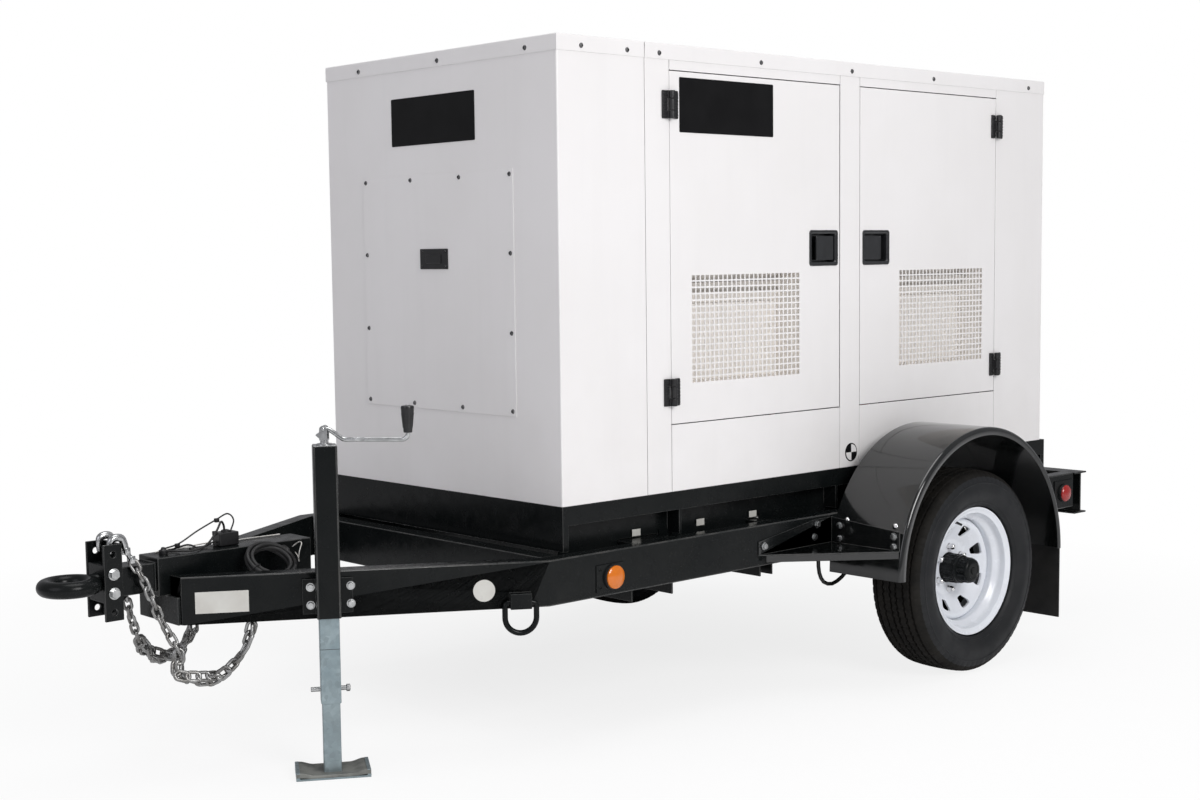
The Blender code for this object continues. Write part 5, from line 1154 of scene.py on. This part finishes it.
def rings():
    """D-shaped tie rings."""
    for word, side in SIDES.items():
        x, y, _ = tongue(side, 0.083, 0.012)
        z, turn = RAIL_BOTTOM + 0.018, side * BEND
        plan = [(-0.035, 0), (0, 0), (0.035, 0), (0.0405, -0.003), (0.043, -0.01), (0.043, -0.04)]
        plan += [*arc(0, -0.04, 0.043, -0.043, 9, 9, 19), (-0.043, -0.04), (-0.043, -0.01), (-0.0405, -0.003)]
        bm = bmesh.new()
        tube(bm, [(x + u * cos(turn), y + u * sin(turn), z + v) for u, v in plan], 0.0078, 18, True)
        finish(bm, f"{word}_tie_ring_bar", BLACK, f"{word}_tie_ring", "frame_paint", (f"{word}_ring",),
            angle=60, weighted=False)


CHAIN_ROUTE = [(-1.0975, 0.0305, 0.61), (-1.0975, 0.0305, 0.632), (-1.0925, 0.0305, 0.6455),
    (-1.079, 0.0305, 0.6492), (-1.0655, 0.0305, 0.6455), (-1.06, 0.033, 0.632), (-1.055, 0.038, 0.61),
    (-1.045, 0.047, 0.586), (-1.022, 0.064, 0.53), (-0.99, 0.085, 0.43), (-0.955, 0.11, 0.345)]
CHAIN_LOOP = [(-0.18, -0.06, 0.285), (-0.1, -0.04, 0.262), (-0.042, -0.02, 0.3), (-0.01, -0.004, 0.35),
    (0, 0, 0.39), (0, 0, 0.408)]
SPREAD = 0.011                   # of the doubled strands about their route


def link(bm, centre, along, across, pitch, bar, width):
    """One welded chain link: a round bar bent into a stadium."""
    half, radius = pitch / 2 - width + bar, width - bar
    points = []
    for i in range(9):
        t = pi * i / 8 - pi / 2
        points.append(along * (half + radius * cos(t)) + across * radius * sin(t))
    for i in range(9):
        t = pi * i / 8 + pi / 2
        points.append(along * (-half + radius * cos(t)) + across * radius * sin(t))
    tube(bm, [centre + p for p in points], bar, 9, closed=True)


def chain(bm, route, pitch=0.027, bar=0.0043, width=0.014, twist=0.35):
    """Links along a route, each turned a quarter from the last."""
    points = smooth(route, 0.002)
    travelled, nearest, number = 0, pitch / 2, 0
    for a, b in zip(points, points[1:]):
        step = (b - a).length
        travelled += step
        if travelled < nearest:
            continue
        along = (b - a).normalized()
        across = along.cross(Vector((0.31, 0.95, 0.05))).normalized()
        across = Matrix.Rotation(pi / 2 * (number % 2) + twist * number, 3, along) @ across
        link(bm, b, along, across, pitch + 2 * bar, bar, width)
        nearest += pitch
        number += 1


def chains():
    """Two safety chains with their clevis hooks, each doubled where it hangs."""
    for word, side in SIDES.items():
        end_x = -0.775 if word == "left" else -0.715
        end_y = 0.612 - (BEND_X - end_x) * SIN / COS - 0.0254 / COS
        loop = [(end_x + dx, end_y + dy, z) for dx, dy, z in CHAIN_LOOP]
        route = [Vector((px, side * py, pz)) for px, py, pz in CHAIN_ROUTE[7:] + loop]
        bm = bmesh.new()
        chain(bm, route[:4])
        fine = smooth(route[3:], 0.02)
        for phase in (0.6, 3.5):
            strand = []
            for i, p in enumerate(fine[:-1]):
                ease = min(1, i / 3, (len(fine) - 2 - i) / 3 + 0.25)
                turn = phase + 0.62 * i
                strand.append(p + ease * SPREAD * Vector((0.6 * sin(turn), side * cos(turn),
                    0.8 * sin(turn + 0.7))))
            chain(bm, strand, 0.029, 0.0048, 0.0162, 0.9 + phase / 7)
        finish(bm, f"{word}_chain_links", CHAIN, replaces=(f"{word}_safety_chain",), angle=60,
            weighted=False)
        bm = bmesh.new()
        hook = smooth([(px, side * py, pz) for px, py, pz in CHAIN_ROUTE[:8]], 0.004)
        tube(bm, hook, 0.0085, 16, taper=lambda t: 0.006 + 0.0044 * sin(pi * min(1, t * 1.1)))
        for px, py, pz in ((-1.056, 0.037, 0.612), (-1.047, 0.045, 0.59)):
            drum(bm, (px, side * (py - 0.012), pz), (0, side, 0), 0.0055, 0.024, sides=16, bevel=0.0008)
            for off in (-1, 1):
                ys = across(side, py + off * 0.01, py + off * 0.006)
                cuboid(bm, (px - 0.0075, ys[0], pz - 0.01), (px + 0.0075, ys[1], pz + 0.01), 0.0015)
        finish(bm, f"{word}_chain_hook", ZINC, angle=60, weighted=False)


def cable():
    """The trailer cable: one cord that leaves the drawbar, winds beside it, and ends in its plug."""
    centre = Vector((-0.672, -0.115, 0.546))
    ahead = Vector((1, 0, 0))
    tilt = radians(35)
    level = Vector((0, cos(tilt), sin(tilt)))
    normal = ahead.cross(level)
    lead = [(-0.59, -0.0511, 0.562), (-0.59, -0.06, 0.562), (-0.592, -0.072, 0.561)]
    offsets = [(0.0062, -0.0062), (-0.0062, -0.0062), (-0.0062, 0.0062), (0.0062, 0.0062), (0.0062, 0.0062)]
    coil = []
    steps = 36
    for i in range(int(4.2 * steps)):
        turns = i / steps
        a = radians(16.6) - 2 * pi * turns
        number = int(turns)
        ease = min(1, max(0, (turns - number - 0.7) / 0.3))
        ease = ease * ease * (3 - 2 * ease)
        first, other = offsets[number], offsets[min(number + 1, 4)]
        radius = 0.06 + first[0] + (other[0] - first[0]) * ease
        height = first[1] + (other[1] - first[1]) * ease
        coil.append(centre + radius * (ahead * cos(a) + level * sin(a)) + normal * height)
    tail = [(-0.683, -0.169, 0.4985), (-0.694, -0.164, 0.483), (-0.699, -0.159, 0.468),
        (-0.7, -0.157, 0.46)]
    points = [*smooth([*lead, coil[0], coil[1]], 0.006)[:-1], *coil[1:], *[Vector(p) for p in tail]]
    curve = bpy.data.curves.new("trailer_cord", "CURVE")
    curve.dimensions = "3D"
    curve.bevel_depth = 0.00575
    curve.bevel_resolution = 4
    curve.use_fill_caps = True
    spline = curve.splines.new("POLY")
    spline.points.add(len(points) - 1)
    for point, place in zip(spline.points, points):
        point.co = (*(place + Vector((OX, 0, 0))), 1)
    cord = bpy.data.objects.new("trailer_cord", curve)
    bpy.context.scene.collection.objects.link(cord)
    curve.materials.append(RUBBER)
    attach(cord, "chassis")
    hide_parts("trailer_cable", "trailer_cable_coil")

    bm = bmesh.new()
    lathe(bm, [(0, 0), (0.0092, 0), (0.01, 0.002), (0.0098, 0.01), (0.0135, 0.014), (0.0168, 0.018),
        (0.0172, 0.036), (0.015, 0.04), (0.012, 0.046), (0.0096, 0.056), (0.0074, 0.0685), (0, 0.0685)],
        (-0.7, -0.157, 0.4312), (0, 0, 1), 36)
    for i in range(12):
        t = 2 * pi * i / 12
        drum(bm, (-0.7 + 0.0165 * cos(t), -0.157 + 0.0165 * sin(t), 0.45), (0, 0, 1), 0.001, 0.015, sides=6)
    plug = finish(bm, "trailer_cord_plug", PLASTIC, replaces=("trailer_plug",))
    bm = bmesh.new()
    tube(bm, points[:6], 0.0085, 18, taper=lambda t: 0.0098 - 0.0032 * t)
    drum(bm, (-0.59, -0.0508, 0.562), (0, -1, 0), 0.0115, 0.004, sides=24, bevel=0.0008)
    relief = finish(bm, "trailer_cord_relief", RUBBER, slot="cable_rubber", weighted=False)
    bm = bmesh.new()
    a = radians(200)
    spoke = ahead * cos(a) + level * sin(a)
    middle = centre + 0.06 * spoke
    tube(bm, [middle + spoke * u + normal * v for u, v in rounded(-0.014, 0.014, -0.014, 0.014, 0.009, 4)],
        0.0016, 8, closed=True)
    tie = finish(bm, "trailer_cord_tie", PLASTIC, weighted=False)


def breakaway():
    """Breakaway switch, its pull wire and the post."""
    bm = bmesh.new()
    cuboid(bm, (-0.765, -0.012, 0.5845), (-0.705, 0.03, 0.6215), 0.0035, 3)
    cuboid(bm, (-0.77, 0.004, 0.5845), (-0.7, 0.014, 0.5885), 0.001)
    lathe(bm, [(0, 0), (0.0125, 0), (0.012, 0.004), (0.0075, 0.006), (0, 0.006)], (-0.735, 0.009, 0.6212),
        (0, 0, 1), 24)
    lathe(bm, [(0, 0), (0.012, 0), (0.0118, 0.01), (0.007, 0.0125), (0.0045, 0.018), (0, 0.019)],
        (-0.93, 0, 0.5845), (0, 0, 1), 24)
    finish(bm, "breakaway_box", PLASTIC, replaces=("breakaway_switch",))
    bm = bmesh.new()
    route = [(-0.93, 0, 0.598), (-0.88, 0.005, 0.606), (-0.82, 0.012, 0.632), (-0.76, 0.016, 0.655),
        (-0.722, 0.018, 0.668), (-0.708, 0.01, 0.65), (-0.725, 0, 0.6215)]
    hose(bm, route, 0.006, 0.0022, 10)
    second = [(-0.928, -0.004, 0.592), (-0.9, -0.024, 0.592), (-0.858, -0.034, 0.59), (-0.815, -0.03, 0.6),
        (-0.78, -0.022, 0.632), (-0.757, -0.006, 0.652), (-0.742, 0.006, 0.64), (-0.738, 0.01, 0.624)]
    hose(bm, second, 0.006, 0.003, 10)
    third = [(-0.925, 0.01, 0.59), (-0.89, 0.022, 0.59), (-0.85, 0.012, 0.598), (-0.83, -0.006, 0.59),
        (-0.8, 0.01, 0.588), (-0.768, 0.016, 0.596)]
    hose(bm, third, 0.006, 0.0026, 10)
    for px, py, pz in ((-0.862, -0.03, 0.592), (-0.786, -0.022, 0.626), (-0.758, 0.014, 0.654),
            (-0.882, 0.01, 0.6)):
        cuboid(bm, (px - 0.006, py - 0.0055, pz - 0.0055), (px + 0.006, py + 0.0055, pz + 0.0055), 0.0015)
    finish(bm, "breakaway_wire", RUBBER, slot="cable_rubber", weighted=False)
    bm = bmesh.new()
    wire = [(-0.938, 0.03, 0.586), (-0.9, 0.042, 0.5875), (-0.84, 0.047, 0.5865), (-0.77, 0.044, 0.59),
        (-0.7, 0.046, 0.587), (-0.62, 0.047, 0.5868), (-0.54, 0.044, 0.5868)]
    hose(bm, wire, 0.006, 0.0019, 8)
    loop = [(-0.56, -0.0508, 0.566), (-0.556, -0.075, 0.58), (-0.566, -0.105, 0.582),
        (-0.582, -0.118, 0.562), (-0.58, -0.11, 0.54), (-0.566, -0.09, 0.53), (-0.556, -0.07, 0.54),
        (-0.552, -0.0508, 0.548)]
    hose(bm, loop, 0.005, 0.0015, 8)
    finish(bm, "white_wire", WIRE, weighted=False)


def lights():
    """Amber side markers, red rear markers and tail lamps."""
    def lamp(base, out, radius):
        ring = [(0, 0), (radius, 0), (radius, 0.006), (radius * 0.97, 0.009), (radius * 0.92, 0.0085),
            (0, 0.0085)]
        glass = [(radius * 0.92, 0.006), (radius * 0.9, 0.012), (radius * 0.7, 0.0165),
            (radius * 0.3, 0.019), (0, 0.0195)]
        return (ring, base, out), (glass, base, out)
    groups = {"amber": [], "red": []}
    frames = bmesh.new()
    for side in SIDES.values():
        groups["amber"].append(lamp((0.128, side * 0.6155, CZ - 0.203), (0, side, 0), 0.036))
        groups["red"].append(lamp((2.405, side * 0.6155, CZ - 0.197), (0, side, 0), 0.033))
        groups["red"].append(lamp((2.5135, side * 0.515, 0.459), (1, 0, 0), 0.046))
        groups["red"].append(lamp((2.5135, side * 0.4, 0.459), (1, 0, 0), 0.03))
        ys = across(side, 0.6121, 0.6158)
        cuboid(frames, (0.064, ys[0], CZ - 0.242), (0.17, ys[1], CZ - 0.164), 0.0012, 1)
        pan_screw(frames, (0.076, side * 0.6158, CZ - 0.228), (0, side, 0), 0.005)
        pan_screw(frames, (0.076, side * 0.6158, CZ - 0.178), (0, side, 0), 0.005)
        cuboid(frames, (2.345, ys[0], CZ - 0.24), (2.462, ys[1], CZ - 0.15), 0.0012, 1)
    finish(frames, "lamp_plates", BLACK)
    rings_bm = bmesh.new()
    for name, glass_material in (("amber", AMBER), ("red", RED)):
        glass_bm = bmesh.new()
        for ring, glass in groups[name]:
            lathe(rings_bm, *ring, 40)
            lathe(glass_bm, *glass, 40)
        finish(glass_bm, f"{name}_lenses", glass_material)
    finish(rings_bm, "lamp_rims", RUBBER, slot="black_plastic")


def machines():
    """The CAD machines inside the canopy, with softened edges."""
    for node, material, slot, width in (("engine", IRON, "engine_iron", 0.006),
            ("alternator", IRON, "engine_iron", 0.006), ("radiator", ALLOY, "alloy", 0.002),
            ("silencer", GALV, "galvanised", 0.004), ("battery", PLASTIC, "black_plastic", 0.004),
            ("control_cabinet", CREAM, "canopy_paint", 0.0012)):
        refine(node, f"{node}_body", material, slot, width, 2)
    refine("cooling_fan", "fan_wheel", PLASTIC, "black_plastic", 0.001, 1, "fan")


def inlet_side():
    """Inlet manifold, rocker cover bolts, filter heads and battery clamp."""
    bm = bmesh.new()
    hose(bm, [(0.67, -0.196, 1.205), (0.9, -0.196, 1.205), (1.135, -0.196, 1.205)], 0.02, 0.027, 24)
    for x in (0.7, 0.83, 0.96, 1.09):
        hose(bm, [(x, -0.196, 1.205), (x, -0.175, 1.212), (x, -0.146, 1.216)], 0.008, 0.0165, 18)
        cuboid(bm, (x - 0.03, -0.158, 1.186), (x + 0.03, -0.1495, 1.246), 0.003)
        for dx in (-0.022, 0.022):
            hexagon(bm, (x + dx, -0.158, 1.238 if dx > 0 else 1.194), (0, -1, 0), 0.0065, 0.006)
    for x in (0.68, 0.79, 0.905, 1.02, 1.13):
        for y in (-0.045, 0.045):
            hexagon(bm, (x, y, 1.3652), (0, 0, 1), 0.007, 0.006)
    for x in (0.96, 1.06):
        cuboid(bm, (x - 0.036, -0.24, 1.11), (x + 0.036, -0.149, 1.132), 0.004)
    cuboid(bm, (1.95, -0.47, 0.9005), (1.985, -0.11, 0.9055), 0.001)
    finish(bm, "manifold_and_clamps", ALLOY)


def hoses():
    """Oil and fuel filters, air cleaner, hoses, loom and battery lead."""
    bm = bmesh.new()
    for x, y, top, r, length in ((0.775, -0.205, 1, 0.045, 0.13), (0.96, -0.205, 1.11, 0.036, 0.14),
            (1.06, -0.205, 1.11, 0.036, 0.14)):
        lathe(bm, [(0, 0), (r * 0.55, 0), (r * 0.92, 0.006), (r, 0.014), (r, length - 0.022),
            (r * 1.05, length - 0.018), (r * 1.05, length - 0.004), (r * 0.9, length), (0, length)],
            (x, y, top - length), (0, 0, 1), 36)
    lathe(bm, [(0, 0), (0.05, 0), (0.072, 0.006), (0.076, 0.016), (0.076, 0.06), (0.073, 0.064),
        (0.073, 0.07), (0.076, 0.074), (0.076, 0.22), (0.079, 0.224), (0.079, 0.238), (0.076, 0.242),
        (0.076, 0.3), (0.068, 0.318), (0.032, 0.322), (0.032, 0.345), (0, 0.345)], (0.715, -0.3, 1.55),
        (1, 0, 0), 48)
    hose(bm, [(1.05, -0.3, 1.55), (1.105, -0.3, 1.548), (1.165, -0.285, 1.5), (1.178, -0.24, 1.38),
        (1.16, -0.205, 1.27), (1.125, -0.196, 1.205)], 0.012, 0.029, 24)
    hose(bm, [(0.42, -0.18, 1.5), (0.475, -0.186, 1.505), (0.545, -0.18, 1.46), (0.6, -0.14, 1.37),
        (0.64, -0.1, 1.29)], 0.012, 0.021, 20)
    hose(bm, [(0.42, 0.2, 0.74), (0.48, 0.225, 0.735), (0.56, 0.22, 0.78), (0.61, 0.17, 0.87),
        (0.64, 0.12, 0.92)], 0.012, 0.021, 20)
    for route, r in (([(1.765, 0.12, 1.25), (1.7, 0.12, 1.28), (1.62, 0.1, 1.31), (1.54, 0.06, 1.325)],
            0.014), ([(1.765, 0.16, 1.42), (1.64, 0.17, 1.45), (1.42, 0.16, 1.44), (1.24, 0.15, 1.4),
            (1.18, 0.14, 1.28)], 0.009), ([(1.95, -0.2, 0.912), (1.88, -0.19, 0.93), (1.76, -0.23, 0.85),
            (1.5, -0.24, 0.76), (1.25, -0.235, 0.78), (1.15, -0.19, 0.9)], 0.0075)):
        hose(bm, route, 0.015, r, 14)
    finish(bm, "filters_and_hoses", RUBBER, slot="black_plastic", weighted=False)

    bm = bmesh.new()
    hose(bm, [(2.05, -0.38, 0.912), (1.96, -0.37, 0.94), (1.8, -0.29, 0.87), (1.5, -0.262, 0.775),
        (1.25, -0.25, 0.8), (1.14, -0.19, 0.93)], 0.015, 0.0075, 14)
    lathe(bm, [(0, 0), (0.017, 0), (0.016, 0.018), (0.01, 0.022), (0, 0.022)], (2.05, -0.38, 0.9),
        (0, 0, 1), 24)
    finish(bm, "battery_lead", RED_CABLE, slot="cable_rubber", weighted=False)


def exhaust_side():
    """Exhaust manifold and its pipe, belt pulleys and the drive belt."""
    bm = bmesh.new()
    hose(bm, [(0.69, 0.19, 1.225), (0.9, 0.19, 1.225), (1.1, 0.19, 1.232), (1.16, 0.182, 1.29),
        (1.155, 0.13, 1.42), (1.105, 0.06, 1.51)], 0.015, 0.027, 24)
    for x in (0.72, 0.85, 0.98, 1.09):
        hose(bm, [(x, 0.19, 1.225), (x, 0.17, 1.222), (x, 0.146, 1.216)], 0.008, 0.0185, 18)
        cuboid(bm, (x - 0.028, 0.1495, 1.188), (x + 0.028, 0.159, 1.244), 0.003)
    for y, z, r in ((0, 0.93, 0.075), (-0.205, 1.215, 0.036)):
        lathe(bm, [(0.01, 0), (r, 0), (r, 0.004), (r - 0.006, 0.009), (r - 0.006, 0.015), (r, 0.02),
            (r, 0.024), (r * 0.5, 0.024), (r * 0.45, 0.018), (0.01, 0.018)], (0.562, y, z), (1, 0, 0), 48,
            True)
    lathe(bm, [(0, 0), (0.05, 0), (0.058, 0.01), (0.058, 0.085), (0.05, 0.098), (0, 0.098)],
        (0.588, -0.205, 1.215), (1, 0, 0), 40)
    lathe(bm, [(0, 0), (0.024, 0), (0.024, 0.05), (0, 0.05)], (0.58, 0, 0.93), (1, 0, 0), 32)
    finish(bm, "exhaust_and_pulleys", IRON, weighted=False)

    bm = bmesh.new()
    belt = arc(0, 0.93, 0.071, 0.071, -144, 12, 16) + arc(-0.205, 1.215, 0.032, 0.032, 36, 12, 16)
    tube(bm, [(0.574, y, z) for y, z in belt], 0.0055, 10, closed=True)
    finish(bm, "drive_belt", RUBBER, slot="black_plastic", weighted=False)


def controls():
    """Blank screen, gauges, keys, breakers, outlets and the stop button."""
    bm = bmesh.new()
    cuboid(bm, (1.79, 0.479, 1.425), (1.88, 0.487, 1.5), 0.0025)
    for x in (1.905, 1.955):
        for z in (1.485, 1.435):
            lathe(bm, [(0, 0), (0.02, 0), (0.02, 0.006), (0.018, 0.008), (0.0165, 0.006), (0, 0.006)],
                (x, 0.479, z), (0, 1, 0), 32)
    for i in range(4):
        lathe(bm, [(0, 0), (0.0085, 0), (0.008, 0.006), (0, 0.007)], (1.8 + 0.024 * i, 0.479, 1.385),
            (0, 1, 0), 20)
    for x in (1.815, 1.88, 1.945):
        cuboid(bm, (x - 0.026, 0.4, 1.12), (x + 0.026, 0.406, 1.185), 0.003)
        lathe(bm, [(0, 0.003), (0.015, 0.003), (0.016, 0.014), (0.02, 0.016), (0.021, 0.006), (0.021, 0)],
            (x, 0.406, 1.155), (0, 1, 0), 32)
    for x in (1.83, 1.93):
        cuboid(bm, (x - 0.03, 0.4, 1.215), (x + 0.03, 0.409, 1.29), 0.004)
    finish(bm, "control_fittings", PLASTIC)
    bm = bmesh.new()
    lathe(bm, [(0, 0), (0.02, 0), (0.02, 0.003), (0, 0.003)], (1.945, 0.479, 1.378), (0, 1, 0), 32)
    finish(bm, "stop_collar", YELLOW)
    bm = bmesh.new()
    lathe(bm, [(0, 0.003), (0.008, 0.003), (0.008, 0.01), (0.014, 0.012), (0.0145, 0.018), (0, 0.021)],
        (1.945, 0.479, 1.378), (0, 1, 0), 32)
    finish(bm, "stop_button", RED_CABLE)


def rear_screws():
    """Screws round the rear wall."""
    bm = bmesh.new()
    for y in (-0.5, 0.5):
        for row in range(5):
            pan_screw(bm, (2.345, y, CZ + 0.09 + 0.27 * row), (1, 0, 0), 0.007)
    for y in (-0.25, 0, 0.25):
        for z in (0.09, 1.17):
            pan_screw(bm, (2.345, y, CZ + z), (1, 0, 0), 0.007)
    finish(bm, "rear_screws", BOLT)


camera()
cable()
studio()
canopy()
frame_members()
coupler()
for word, side in SIDES.items():
    tyre(word, side)
    wheel(word, side)
    fender(word, side)
for build in (jack, crank, tongue_plates, rings, chains, breakaway, lights, machines, inlet_side, hoses,
        exhaust_side, controls, rear_screws):
    build()
